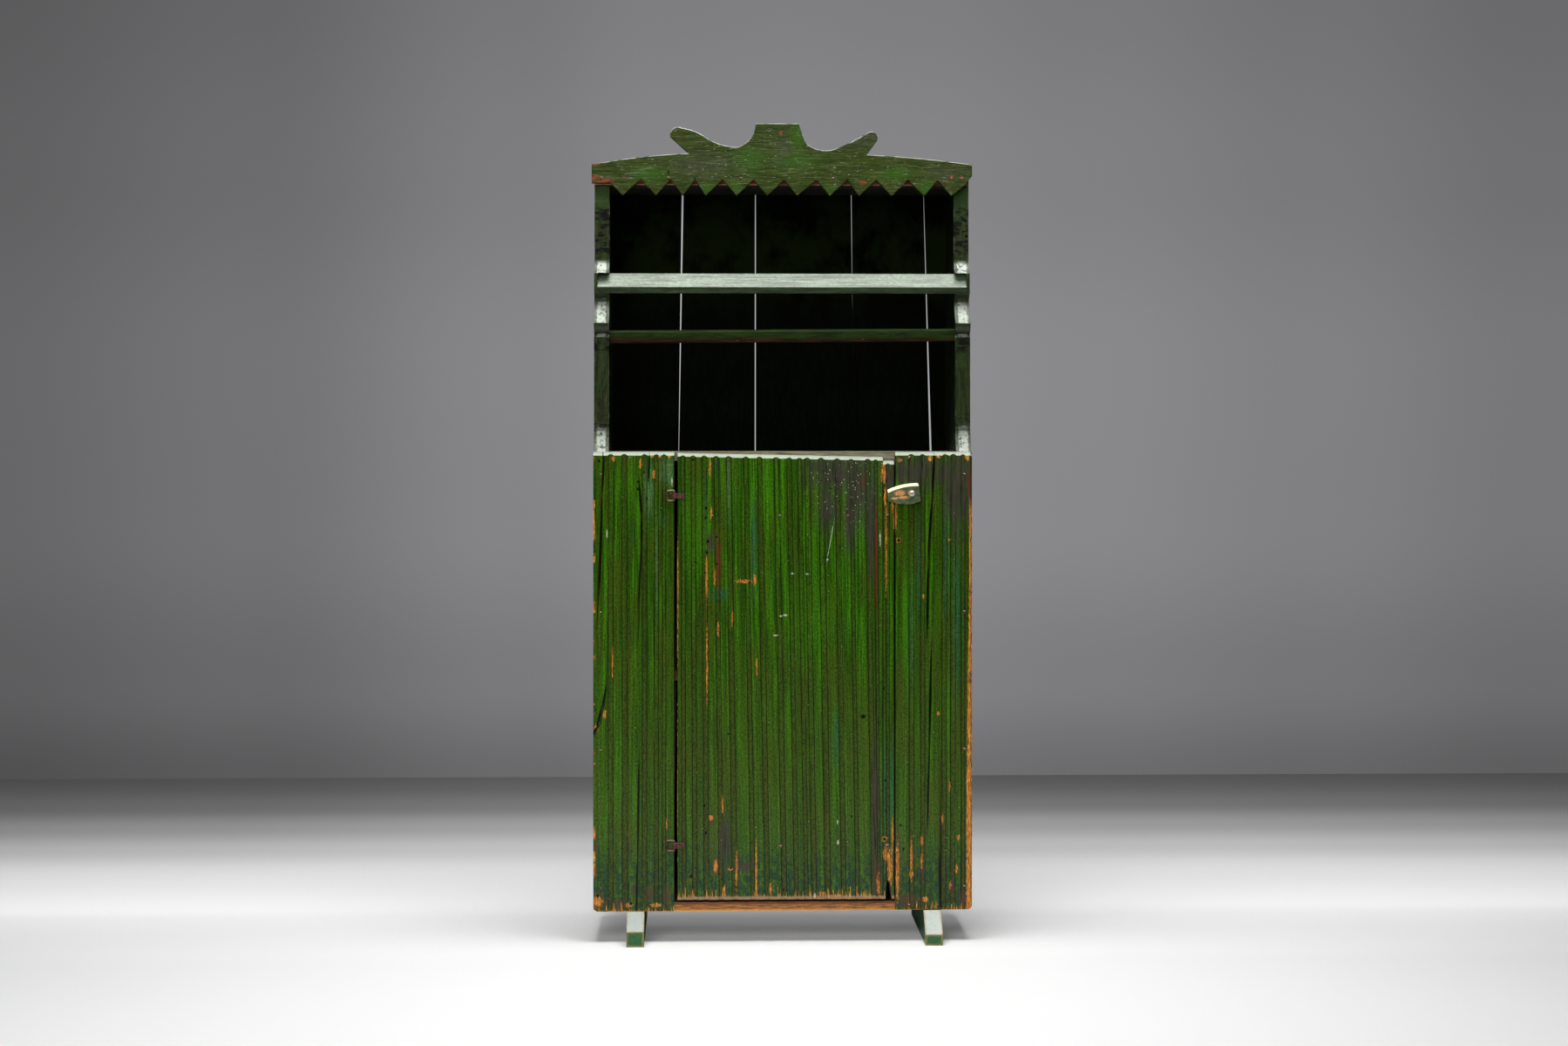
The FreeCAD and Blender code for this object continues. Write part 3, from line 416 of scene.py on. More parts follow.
# Boards that share a finish
SIDE_BOARDS = ["left_side_board", "right_side_board"]
BACK_BOARDS = [f"back_board_{number}" for number in range(1, 6)]
RUNNERS = ["left_runner", "right_runner"]
PINE_BOARDS = ["inner_shelf", "left_shelf_cleat", "right_shelf_cleat", "lower_door_batten",
               "upper_door_batten"]
FLUTED_BOARDS = ["left_front_board", "door_board", "door_edge_strip", "right_front_board"]

# Colours, as light reflected in red, green and blue
FRESH_GREEN = (0.040, 0.165, 0.002)
DEEP_GREEN = (0.014, 0.044, 0.001)
OLIVE = (0.046, 0.058, 0.004)
DUSTY_GREEN = (0.058, 0.106, 0.010)
HOLLOW_OLIVE = (0.042, 0.050, 0.005)
EDGE_DARK = (0.005, 0.008, 0.002)
TEAL = (0.018, 0.088, 0.043)
DEEP_TEAL = (0.010, 0.044, 0.019)
MINT = (0.080, 0.170, 0.055)
GRIME = (0.050, 0.044, 0.032)
RUSSET = (0.095, 0.034, 0.018)
RED_PAINT = (0.13, 0.024, 0.012)
ORANGE_WOOD = (0.57, 0.185, 0.022)
PALE_WOOD = (0.74, 0.37, 0.065)
BROWN_WOOD = (0.15, 0.062, 0.020)
DARK_WOOD = (0.042, 0.022, 0.010)
OLD_BOARD = (0.19, 0.105, 0.045)
OLD_BOARD_DARK = (0.085, 0.045, 0.020)
PINK_WOOD = (0.15, 0.040, 0.014)
PINK_EDGE_HIGHLIGHT = (0.45, 0.18, 0.10)
SCUFFED = (0.26, 0.21, 0.15)
HOLE = (0.002, 0.002, 0.001)
CHALK = (0.62, 0.60, 0.50)
PALE_GREEN = (0.40, 0.47, 0.38)
# The crest
CREST_GREEN = (0.029, 0.045, 0.004)
CREST_DARK = (0.010, 0.018, 0.001)
CREST_BRIGHT = (0.020, 0.062, 0.003)
CREST_DULL = (0.034, 0.037, 0.022)
CREST_SCRAPED = (0.13, 0.145, 0.080)
CREST_EDGE_HIGHLIGHT = (0.50, 0.54, 0.46)
RED_WOOD = (0.20, 0.058, 0.020)
# The sides: their edges, the painted shade of their inner faces, and their outer faces
SIDE_GREEN = (0.020, 0.030, 0.007)
SIDE_DARK = (0.007, 0.011, 0.002)
SIDE_PATCH = (0.018, 0.045, 0.005)
SIDE_KEPT = (0.026, 0.060, 0.010)
SIDE_SWEEP_HIGHLIGHT = (0.38, 0.42, 0.36)
SIDE_INNER_SHADE = (0.003, 0.006, 0.001)
OUTER_GREEN = (0.036, 0.110, 0.006)
OUTER_DARK = (0.016, 0.045, 0.003)
# The two rails
RAIL_GREEN = (0.018, 0.036, 0.008)
RAIL_DARK = (0.006, 0.011, 0.002)
RAIL_SLOPE_HIGHLIGHT = (0.165, 0.215, 0.150)
LOW_RAIL_GREEN = (0.012, 0.026, 0.003)
LOW_RAIL_DARK = (0.005, 0.009, 0.001)
LOW_RAIL_WOOD = (0.028, 0.010, 0.002)
LOW_RAIL_WOOD_DARK = (0.006, 0.003, 0.001)
# The runners and their toes
RUNNER_GREEN = (0.012, 0.122, 0.026)
RUNNER_DARK = (0.007, 0.079, 0.015)
TOE_SCUFF_AND_HIGHLIGHT = (0.40, 0.45, 0.41)
TOE_PITS = (0.12, 0.19, 0.13)
TOE_ARRIS = (0.40, 0.25, 0.075)
# The back boards: painted shade, and painted light higher up
SHADED_GREEN = (0.0010, 0.0020, 0.0004)
SHADED_DARK = (0.0005, 0.0009, 0.0002)
SHADED_GLIMPSE = (0.0045, 0.0085, 0.0020)
# Raw boards
SILL_PINE = (0.58, 0.21, 0.040)
SILL_DARK = (0.09, 0.032, 0.009)
PINE = (0.24, 0.115, 0.040)
PINE_DARK = (0.10, 0.046, 0.016)
PINK_DARK = (0.06, 0.020, 0.010)
# The counter's pale tones are partly painted highlight, standing for light on its front edge.
COUNTER_PALE = (0.26, 0.25, 0.16)
COUNTER_DARK = (0.07, 0.080, 0.040)
# Iron and steel
RUST = (0.15, 0.060, 0.038)
RUST_DARK = (0.026, 0.013, 0.010)
RUST_TOP_HIGHLIGHT = (0.34, 0.22, 0.19)
STEEL_BRIGHT = (0.78, 0.74, 0.70)
STEEL_DARK = (0.40, 0.36, 0.32)
# The turn button
BUTTON_GREEN = (0.075, 0.105, 0.045)
BUTTON_DARK = (0.032, 0.055, 0.018)
BUTTON_WOOD = (0.50, 0.20, 0.04)
BUTTON_WOOD_PALE = (0.60, 0.36, 0.14)
BUTTON_CREAM = (0.58, 0.52, 0.32)
BUTTON_MOSS = (0.38, 0.42, 0.25)
BUTTON_UNDER = (0.26, 0.20, 0.08)
BUTTON_ARRIS = (0.52, 0.28, 0.08)

# Marks of age, each its middle and half size in the photograph's pixels.
# Grime: the dark stain beside the button, and smaller ones
GRIME_MARKS = [
    (964, 543, 32, 20), (985, 560, 12, 40), (950, 582, 10, 22), (1036, 540, 12, 16),
    (1063, 536, 9, 12), (1098, 560, 13, 44), (832, 965, 6, 26), (853, 993, 7, 5),
    (1004.5, 925, 4, 60), (815, 622, 4, 9), (1021, 548, 6, 20), (1050, 543, 26, 16),
    (1084, 543, 12, 13), (938, 535, 9, 7), (975, 592, 6, 36), (1000, 600, 5, 50),
    (1113, 562, 4, 40),
]
# Where damp has browned the paint
RUSSET_MARKS = [
    (686, 1034, 7, 9), (712, 1037, 9, 5), (726.5, 1021, 2, 6), (745, 1025, 3.4, 9),
    (765, 1028, 3.4, 11), (682.5, 973, 2.6, 5), (683, 998, 3, 4), (685, 960, 2.4, 3),
    (1006, 1008, 4, 20), (1040, 1034, 14, 6), (1046, 985, 2.4, 14), (1058, 1000, 2.4, 12),
    (1092, 1020, 3, 8), (1106, 1032, 6, 8), (1081, 945, 2, 9), (855, 994, 6, 4), (816, 940, 3, 6),
    (821, 993, 3.4, 9), (1031, 990, 3, 36),
]
# Teal, mint, fresh green and red, where other coats show
TEAL_MARKS = [
    (1003, 572, 1.6, 42), (1020, 915, 9, 52), (960, 850, 4, 30), (865, 625, 3, 46),
    (809.5, 575, 1.6, 28), (822, 535, 2, 11), (807, 962, 1.6, 64), (762, 597, 3, 8),
    (826, 682, 9, 6), (1086, 640, 3, 70), (1098, 705, 4, 90), (1055, 650, 2.4, 55),
    (1046, 730, 3, 60),
]
MINT_MARKS = [(765, 541, 8, 15), (754, 650, 1.4, 50), (744, 560, 5, 28), (836, 557, 2, 32)]
FRESH_MARKS = [
    (880, 560, 6, 34), (722, 552, 3, 26), (930, 715, 22, 45), (798, 610, 12, 50),
    (770, 560, 2, 5),
]
RED_MARKS = [(991, 553, 1.3, 8), (1005.5, 640, 1.3, 60), (824, 646, 2.4, 26), (1113, 556, 2, 16)]
# Where the paint is gone to the wood
ORANGE_MARKS = [
    (1014, 543, 2.6, 12), (1016, 571, 1.6, 10), (1017, 625, 1.1, 55), (1027, 590, 2.2, 18),
    (1024, 582, 0.9, 7), (1031.3, 620, 2.8, 2.8), (1090, 619.5, 1.4, 1.6), (1060, 685, 1.2, 3),
    (735, 531, 1.3, 6), (750, 544, 1.3, 6), (704, 526, 2, 3), (768, 523.5, 2, 1.6),
    (757, 524, 2, 1.5), (748, 524, 2, 1.5), (681.5, 600, 1.3, 18), (1033, 528, 2.2, 2.2),
    (1067.5, 526, 2.8, 3), (1077, 524, 2, 2), (1110.5, 525, 2.6, 3.6), (814.5, 536, 1, 11),
    (816, 588, 0.9, 7), (810.6, 662, 1.2, 28), (820, 662, 1, 10), (854, 667, 9, 2),
    (866, 665, 1.6, 6), (811, 760, 1, 40), (824, 722, 1.2, 8), (840, 709, 0.9, 9),
    (868, 765, 1, 10), (777.4, 690, 0.9, 70), (777.2, 900, 0.45, 80), (829, 924, 0.9, 10),
    (816, 938, 2.4, 3), (821, 994, 2.2, 7), (838, 997, 3, 1.8), (845, 998, 1.2, 20),
    (867.5, 1000, 1, 33), (831, 1022, 1, 8), (884, 1020, 1.3, 7), (944, 1027, 4, 3.5),
    (958, 1029, 8, 2.5), (1008, 1016, 1.8, 12), (1015, 963, 3.4, 2.8), (1024, 958, 1.3, 16),
    (1018, 980, 4, 9), (1021, 1000, 2.0, 20), (1023.5, 990, 0.9, 20), (1030, 1000, 2.0, 30),
    (1058, 961, 1.4, 3), (1046, 988, 1.4, 22), (1058, 966, 1.8, 5), (1058, 988, 1.2, 10),
    (1046, 1004, 2.4, 4), (1082, 940, 1.2, 5), (1090, 903, 1.2, 7), (1100, 962, 1.8, 3),
    (1098, 998, 1.4, 6), (1091, 1018, 1.4, 6), (1062, 1033, 3, 3.5), (694, 819, 2, 5),
    (684, 835, 2, 4), (765, 944, 0.9, 7), (703, 760, 0.8, 16), (686, 1034, 5, 6),
    (722, 1038, 4, 3), (753, 1038, 5, 2.4), (1077, 819, 1.5, 2.4),
]
# Holes, most of them from nails
HOLE_MARKS = [
    (687.5, 529, 1.5, 1.6), (732.5, 552.5, 1.5, 1.6), (739, 542, 1.1, 1.3),
    (795, 527.5, 1.4, 1.5), (798, 645, 1.3, 1.5), (686, 1027, 1.7, 1.8), (724, 1036, 1.8, 1.9),
    (1031.3, 620, 2.0, 2.1), (835.6, 842, 1.2, 1.3), (990.5, 822.5, 2.8, 2.2),
    (1014, 790, 1.3, 1.5), (809, 657, 1.1, 1.2), (822.5, 647, 1.1, 1.3), (1015, 963.5, 1.8, 1.8),
    (1014, 564, 1.4, 1.6), (1017, 551, 1.1, 1.4), (810, 955.6, 1.4, 1.7),
    (1033.6, 947.6, 1.2, 1.6), (1020, 1020, 2.4, 8), (838.5, 996, 1.4, 1.2), (810, 583, 1.4, 2),
    (809.5, 594, 1.2, 1.5), (812, 621, 1.6, 2), (811, 634, 1.4, 2.2), (732, 561, 1.4, 1.8),
    (742, 572, 1.2, 1.6), (822, 616, 1.2, 1.4), (860, 668, 1.2, 1.2), (808, 924, 1.4, 1.7),
    (899, 1021, 1.2, 1.5), (1017, 931, 1.3, 1.5), (1016, 896, 1.2, 1.4), (977, 937, 1.2, 1.4),
    (793, 1005, 1.6, 2), (1037, 975, 1.2, 1.6),
]
# Pale scratches and chips
CHALK_MARKS = [
    (890, 729, 2.6, 0.8), (953, 620, 0.35, 22, 8), (949.5, 642, 0.8, 1.2), (909, 658, 1.2, 1),
    (1010, 618, 0.8, 7), (926, 658.6, 1.4, 1), (901, 706, 2.4, 0.9), (896, 707, 1.6, 0.8),
    (696.5, 612, 0.8, 4), (771, 552, 0.9, 4), (935, 1028, 1.1, 2.6), (961, 944, 0.9, 3),
    (961.5, 967, 1.1, 2.4),
]
# The crest: bright, grey and bare places, and holes
CREST_FRESH = [
    (860, 183, 16, 14), (746, 199, 18, 8), (912, 185, 22, 9), (914, 156, 8, 13),
    (1028, 199, 18, 8), (810, 215, 7, 6), (845, 214, 8, 7), (952, 216, 7, 6), (1062, 214, 8, 8),
]
CREST_GREY = [
    (806, 190, 32, 14), (742, 158, 20, 8), (990, 160, 20, 8), (898, 170, 9, 16),
    (1090, 200, 22, 10),
]
CREST_BARE = [
    (689, 207.6, 13, 3.6), (683, 204, 5, 3), (683, 189, 5, 1.6), (989, 209.5, 6, 2),
    (1092.5, 202.5, 2, 1.8), (1104, 203, 2, 1.9), (1088, 208, 1.6, 1.4), (896, 152.5, 2, 2.2),
    (716, 204, 2, 1.2),
]
CREST_HOLES = [
    (767, 197.5, 1.4, 1.4), (797, 205, 1.3, 1.3), (849.5, 205.5, 1.3, 1.3), (956, 205, 1.2, 1.2),
    (972, 206, 1.2, 1.2), (1042, 207, 1.3, 1.3),
]
# Where grime has crusted round the button
CRUST_MARK = (966, 556, 36, 42)
# Where the button is rubbed down to the wood
BUTTON_BARE = [
    (1033, 566, 6, 3), (1037, 571, 6, 1.6), (1027, 572, 4, 1.4), (1046, 566, 3.6, 3.4),
]
# Cracks in the two fixed boards, with how far each leans
CRACKED_BOARDS = ("left_front_board", "right_front_board")
CRACK_MARKS = [
    (692.3, 543, 1.3, 26, 2.4), (689.4, 628, 1.3, 62, 4.0), (734.6, 572, 1.2, 24, -3.0),
    (736, 610, 1.2, 18), (734.5, 658, 1.2, 32, 3.0), (744.8, 536, 1.3, 17, 1.6),
    (693.5, 800, 1.4, 14, 5.0), (687.5, 824, 1.4, 13, 6.0), (682.5, 839, 1.6, 6, 4.0),
    (732.6, 925, 1.3, 60, 1.5), (731, 1015, 1.3, 30, 1.0), (1071.3, 545, 1.6, 26, 2.4),
    (1067.6, 607, 1.6, 38, 5.0), (1064.6, 690, 1.5, 46, 1.4), (1067.5, 800, 1.2, 60, 3.0),
    (1065.5, 905, 1.2, 50, 2.0), (1078.5, 1010, 1.3, 32, -1.0),
]
# The flutes of the door lean: they run to the right going down
FLUTE_LEAN = 0.0155
# How far beyond a board a mark's middle may lie and still reach it, in metres
MARK_REACH = 0.008
# Radius to which wear has rounded the arrises
SOFT_ARRIS = 0.0014
# How wide the dirt is along the joints between the boards
JOINT_DIRT = 0.0014
# How far the button's face stands before the boards
BUTTON_PROUD = 0.02
# How far up its front edge the roof is in the shade
ROOF_SHADE = 0.0035
# Heights between which something sets in: nothing at the first, all of it at the second
LOWER_WEAR = (0.85, 0.2)
ABOVE_FOOT = (0.1, 0.6)
DAMP_FOOT = (0.25, 0.12)
SCRAPED_FOOT = (0.4, 0.1)
RUBBED_RIM = (0.95, 0.90)
UNWORN_TOP = (1.54, 1.58)
LIT_BACK = (1.28, 1.46)
# The middle of the door, painted as better lit with fewer dull patches: left, right and how
# softly it ends
DOOR_MIDDLE = (-0.14, 0.14, 0.12)
# Where the front edges of the sides keep the marks of the chisel, lowest and highest
CHISELLED = [(1.249, 1.281), (1.461, 1.559), (1.085, 1.105)]
# Sizes of brush strokes that run up a board, along it or from front to back
UPRIGHT = (0.005, 0.005, 0.07)
ACROSS = (0.07, 0.005, 0.005)
DEEPWARDS = (0.005, 0.07, 0.005)
# Sizes of the grain in raw wood
RINGS_UPRIGHT = (0.006, 0.006, 0.06)
RINGS_ACROSS = (0.06, 0.006, 0.006)
SILL_GRAIN = (0.03, 0.006, 0.0025)
PINE_GRAIN = (0.06, 0.006, 0.004)


class Flutes(Finish):
    """Bright green paint over one fluted board, with grime in the hollows, bare ends,
    and those marks of age that lie on this board."""

    def __init__(self, board):
        super().__init__(board + "_paint", varnish=0.2, shine=0.12)
        self.board = board
        self.low, self.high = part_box(board)
        lean = self.times(self.z, self.window(self.x, door_low.x, right_low.x, 0.002))
        along = self.line(lean, FLUTE_LEAN, self.x)
        streaked = self.node("ShaderNodeCombineXYZ", X=along, Y=self.y, Z=self.z).outputs[0]
        self.streaks = self.grain((0.0045, 0.02, 0.20), 1.3, place=streaked)
        self.fine = self.grain((0.0015, 0.01, 0.05), 4.1, place=streaked)
        self.each_flat = self.grain((0.012, 0.2, 1.6), 6.3, detail=1.0, place=streaked)
        self.ragged = self.wander((0.0022, 0.01, 0.006), 2.4)
        self.door_only = self.window(self.x, door_low.x, right_low.x, 0.001)
        self.deep = self.sum("SUBTRACT", self.y, front_y)
        self.lower = self.rise(self.z, *LOWER_WEAR)
        hollow = self.rise(self.deep, 0.0006, 0.0024)
        self.dirt = self.times(self.times(hollow, self.line(self.lower, 0.42, 0.26)),
                               self.rise(self.streaks, 0.1, 0.5))

    def marked(self, marks, soft=0.35, ragged=True):
        """1 inside those of the marks that reach this board."""
        near = [mark for mark in marks
                if self.low.x - MARK_REACH < spot_of(mark[0], 0)[0] < self.high.x + MARK_REACH]
        return self.ovals(near, self.ragged if ragged else None, soft=soft)

    def green(self):
        """The paint itself, fresh and dull in streaks, with older paint showing through."""
        colour = self.mix(self.rise(self.streaks, 0.38, 0.64), DEEP_GREEN, FRESH_GREEN)
        colour = self.lay(colour, self.rise(self.each_flat, 0.46, 0.58), DEEP_GREEN, 0.6)
        # Painted light: fewer dull patches in the middle of the door, where the light is
        # brightest.
        middle = self.times(self.window(self.x, *DOOR_MIDDLE), self.rise(self.z, *ABOVE_FOOT))
        dull = self.times(self.patches((0.03, 0.2, 0.16), 2.7, 0.42, 0.68, detail=2.0),
                          self.line(middle, -0.08, 0.62))
        colour = self.mix(dull, colour, OLIVE)
        colour = self.lay(colour, self.lower, DUSTY_GREEN, 0.40)
        colour = self.lay(colour, self.marked(FRESH_MARKS, 0.8), FRESH_GREEN, 0.5)
        colour = self.lay(colour, self.marked(MINT_MARKS, 0.7), MINT, 0.7)
        teal = self.either(self.marked(TEAL_MARKS, 0.7), self.times(
            self.patches((0.004, 0.02, 0.12), 9.4, 0.60, 0.72), 0.5))
        colour = self.lay(colour, teal, TEAL, 0.55)
        damp = self.times(self.patches((0.012, 0.1, 0.016), 3.6, 0.45, 0.52),
                          self.rise(self.z, *DAMP_FOOT))
        return self.lay(colour, damp, DEEP_TEAL, 0.85)

    def soiled(self, colour):
        """Dirt in the hollows and along the joints, painted shade as dark lines down the flutes'
        sloping sides, grime and damp.
        """
        colour = self.mix(self.dirt, colour, HOLLOW_OLIVE)
        # Painted shade: dark lines where the flutes slope in from the face.
        lines = self.times(self.window(self.deep, 0.0003, 0.0019, 0.0003),
                           self.patches((0.02, 0.1, 0.08), 5.2, 0.25, 0.5))
        colour = self.lay(colour, lines, EDGE_DARK, 0.85)
        colour = self.lay(colour, self.rise(self.fine, 0.56, 0.70), EDGE_DARK, 0.7)
        colour = self.speckle(colour, (0.0030, 0.01, 0.0050), 0.60, 1.50, 2.9)
        grime = self.mix(self.rise(self.fine, 0.46, 0.7), GRIME, EDGE_DARK)
        colour = self.lay(colour, self.marked(GRIME_MARKS, 0.9), grime, 0.95)
        colour = self.lay(colour, self.marked(RED_MARKS, 0.6), RED_PAINT, 0.8)
        russet = self.mix(self.rise(self.fine, 0.44, 0.58), RUSSET, GRIME)
        colour = self.lay(colour, self.marked(RUSSET_MARKS, 0.7), russet, 0.85)
        joint = self.without(self.window(self.x, self.low.x + JOINT_DIRT,
                                         self.high.x - JOINT_DIRT, 0.0006))
        joint = self.times(joint, self.window(self.x, left_low.x + 0.005,
                                              right_high.x - 0.005, 0.001))
        return self.lay(colour, joint, HOLE, 0.8)

    def wood(self):
        """The wood under the paint, from brown through orange to pale."""
        colour = self.mix(self.patches((0.002, 0.01, 0.03), 3.3, 0.42, 0.54),
                          BROWN_WOOD, ORANGE_WOOD)
        return self.mix(self.patches((0.0016, 0.01, 0.012), 8.8, 0.52, 0.60), colour, PALE_WOOD)

    def bare(self):
        """1 where the paint is gone: marks, the boards' feet, their outer rims and scrapes."""
        bare = self.times(self.marked(ORANGE_MARKS, 0.2),
                          self.patches((0.0014, 0.01, 0.004), 1.9, 0.34, 0.46))
        height = self.line(self.patches((0.0035, 0.01, 0.12), 5.9, 0.5, 0.72), -0.024, self.z)
        foot = self.rise(height, left_low.z + 0.003, left_low.z - 0.001)
        door_foot = self.times(self.door_only, self.rise(
            height, door_low.z + 0.007, door_low.z + 0.003))
        rim = self.line(self.lower, 0.006, self.line(self.ragged, 0.0030, self.x))
        right_rim = self.times(self.rise(rim, right_high.x - 0.0066, right_high.x - 0.0056),
                               self.rise(self.z, *RUBBED_RIM))
        rim = self.line(self.ragged, 0.0020, self.x)
        left_rim = self.times(self.rise(rim, left_low.x + 0.0044, left_low.x + 0.0034),
                              self.patches((0.1, 0.1, 0.03), 5.4, 0.54, 0.60))
        scraped = self.times(self.patches((0.0018, 0.01, 0.03), 6.6, 0.70, 0.75),
                             self.rise(self.z, *SCRAPED_FOOT))
        for layer in (foot, door_foot, self.either(right_rim, left_rim), scraped):
            bare = self.either(bare, layer)
        return bare

    def specked(self, colour):
        """Holes, cracks and chips, thickest where the grime has crusted."""
        crust = self.ovals([CRUST_MARK], self.ragged, soft=0.6)
        specks = self.either(self.flecks((0.020, 0.028), 0.06, 0.6, 2.0), self.times(
            self.flecks((0.006, 0.008), 0.24, 0.6, 11.0), crust))
        dark = self.either(self.marked(HOLE_MARKS, ragged=False), specks)
        if self.board in CRACKED_BOARDS:
            dark = self.either(dark, self.marked(CRACK_MARKS, ragged=False))
        colour = self.mix(dark, colour, HOLE)
        chalk = self.either(
            self.times(self.marked(CHALK_MARKS), 0.7),
            self.times(self.flecks((0.014, 0.022), 0.06, 0.45, 5.0), 0.6))
        chalk = self.either(chalk, self.times(
            self.flecks((0.0050, 0.0066), 0.21, 0.6, 8.0), crust))
        return self.mix(chalk, colour, CHALK)

    def edged(self, colour, arris):
        """A painted highlight on the up-facing bevel on top, rubbed arrises, raw wood behind, and
        dark drying splits.
        """
        # Painted highlight: faces that tilt up, such as the top bevel, made pale green as if lit
        # from above.
        colour = self.lay(colour, self.rise(self.facing_z, 0.3, 0.5), PALE_GREEN, 0.62)
        rubbed = self.times(arris, self.patches((0.006, 0.01, 0.02), 4.8, 0.52, 0.64))
        colour = self.lay(colour, rubbed, DUSTY_GREEN, 0.35)
        rings = self.patches((0.008, 0.01, 0.10), 2.2, 0.3, 0.7, warp=0.5)
        colour = self.mix(self.rise(self.deep, 0.004, 0.012), colour,
                          self.mix(rings, OLD_BOARD_DARK, OLD_BOARD))
        split = self.times(self.sideways(0.72, 0.85), self.window(
            self.x, self.low.x + 0.003, self.high.x - 0.006, 0.0005))
        return self.mix(split, colour, HOLE)

    def painted(self):
        """The finished material."""
        rounded, arris = self.rounded(SOFT_ARRIS)
        bare = self.bare()
        colour = self.mix(bare, self.soiled(self.green()), self.wood())
        scuffs = self.times(self.door_only, self.rise(
            self.line(self.ragged, 0.003, self.z), door_low.z + 0.009, door_low.z + 0.005))
        colour = self.lay(colour, scuffs, SCUFFED, 0.6)
        colour = self.edged(self.specked(colour), arris)
        self.raise_surface((self.streaks, 0.0004), (self.fine, 0.0004), over=rounded)
        return self.done(colour, self.line(self.either(bare, self.dirt), 0.3, 0.34))


def finer(size, times):
    """A size of grain divided by a number."""
    return [length / times for length in size]


def brushed(paint, size, light, dark):
    """Green paint brushed out along the board: its colour, and the strokes as heights."""
    strokes = paint.grain(size, 1.1)
    fine = paint.grain(finer(size, 3), 5.5)
    colour = paint.mix(paint.rise(strokes, 0.32, 0.68), dark, light)
    cloudy = paint.patches((0.05, 0.05, 0.05), 8.2, 0.5, 0.72, warp=0.5)
    colour = paint.lay(colour, cloudy, dark, 0.55)
    colour = paint.lay(colour, paint.rise(fine, 0.58, 0.72), EDGE_DARK, 0.6)
    return paint.speckle(colour, finer(size, 4), 0.75, 1.3, 4.4), strokes, fine


def back_wood(paint, colour, size):
    """Leaves the face towards the wall unpainted, as the maker did."""
    bare = paint.mix(paint.patches(size, 2.2, 0.3, 0.7, warp=0.4), OLD_BOARD_DARK, OLD_BOARD)
    outer = paint.without(paint.window(
        paint.x, left_low.x + 0.003, right_high.x - 0.003, 0.001))
    behind = paint.rise(paint.y, back_y - 0.001, back_y + 0.001)
    towards_wall = paint.either(paint.rise(paint.facing_y, 0.5, 0.7), paint.times(outer, behind))
    return paint.mix(towards_wall, colour, bare)


def crest_paint():
    """Olive green brushed out sideways, rubbed bright in the middle, with a painted highlight
    along its upper edges.
    """
    paint = Finish("crest_paint", varnish=0.06, shine=0.12)
    setback = crest_low.y - front_y
    rounded = paint.rounded(0.003)[0]
    colour, strokes, fine = brushed(paint, (0.06, 0.005, 0.0045), CREST_GREEN, CREST_DARK)
    ragged = paint.wander((0.012, 0.01, 0.004), 2.0)
    fresh = paint.ovals(CREST_FRESH, ragged, setback, soft=0.8)
    colour = paint.lay(colour, fresh, CREST_BRIGHT, 0.7)
    greyed = paint.ovals(CREST_GREY, ragged, setback, soft=0.8)
    colour = paint.lay(colour, greyed, CREST_DULL, 0.4)
    scrapes = paint.patches((0.035, 0.01, 0.0011), 3.7, 0.57, 0.67)
    colour = paint.lay(colour, scrapes, CREST_SCRAPED, 0.6)
    nicks = paint.patches((0.016, 0.01, 0.0010), 6.7, 0.665, 0.705)
    colour = paint.lay(colour, nicks, CHALK, 0.6)
    colour = paint.lay(colour, paint.flecks((0.012, 0.008), 0.10, 0.3, 3.0), CHALK, 0.6)
    # Painted highlight, not wear: the upper edges, where the rounded surface turns up, made pale
    # as if lit from above.
    upward = paint.node("ShaderNodeSeparateXYZ", Vector=rounded).outputs[2]
    rubbed = paint.times(paint.rise(upward, 0.06, 0.30),
                         paint.patches((0.03, 0.01, 0.01), 4.8, 0.36, 0.50))
    colour = paint.mix(rubbed, colour, CREST_EDGE_HIGHLIGHT)
    wood = paint.mix(paint.patches((0.012, 0.01, 0.0015), 3.3, 0.38, 0.62), DARK_WOOD, RED_WOOD)
    bare = paint.times(paint.ovals(CREST_BARE, ragged, setback, soft=0.25),
                       paint.patches((0.008, 0.01, 0.002), 1.9, 0.36, 0.48))
    colour = paint.mix(bare, colour, wood)
    colour = paint.mix(paint.ovals(CREST_HOLES, None, setback), colour, HOLE)
    colour = back_wood(paint, colour, RINGS_ACROSS)
    paint.raise_surface((strokes, 0.0004), (fine, 0.0004), over=rounded)
    return paint.done(colour, paint.line(fine, 0.2, 0.42))


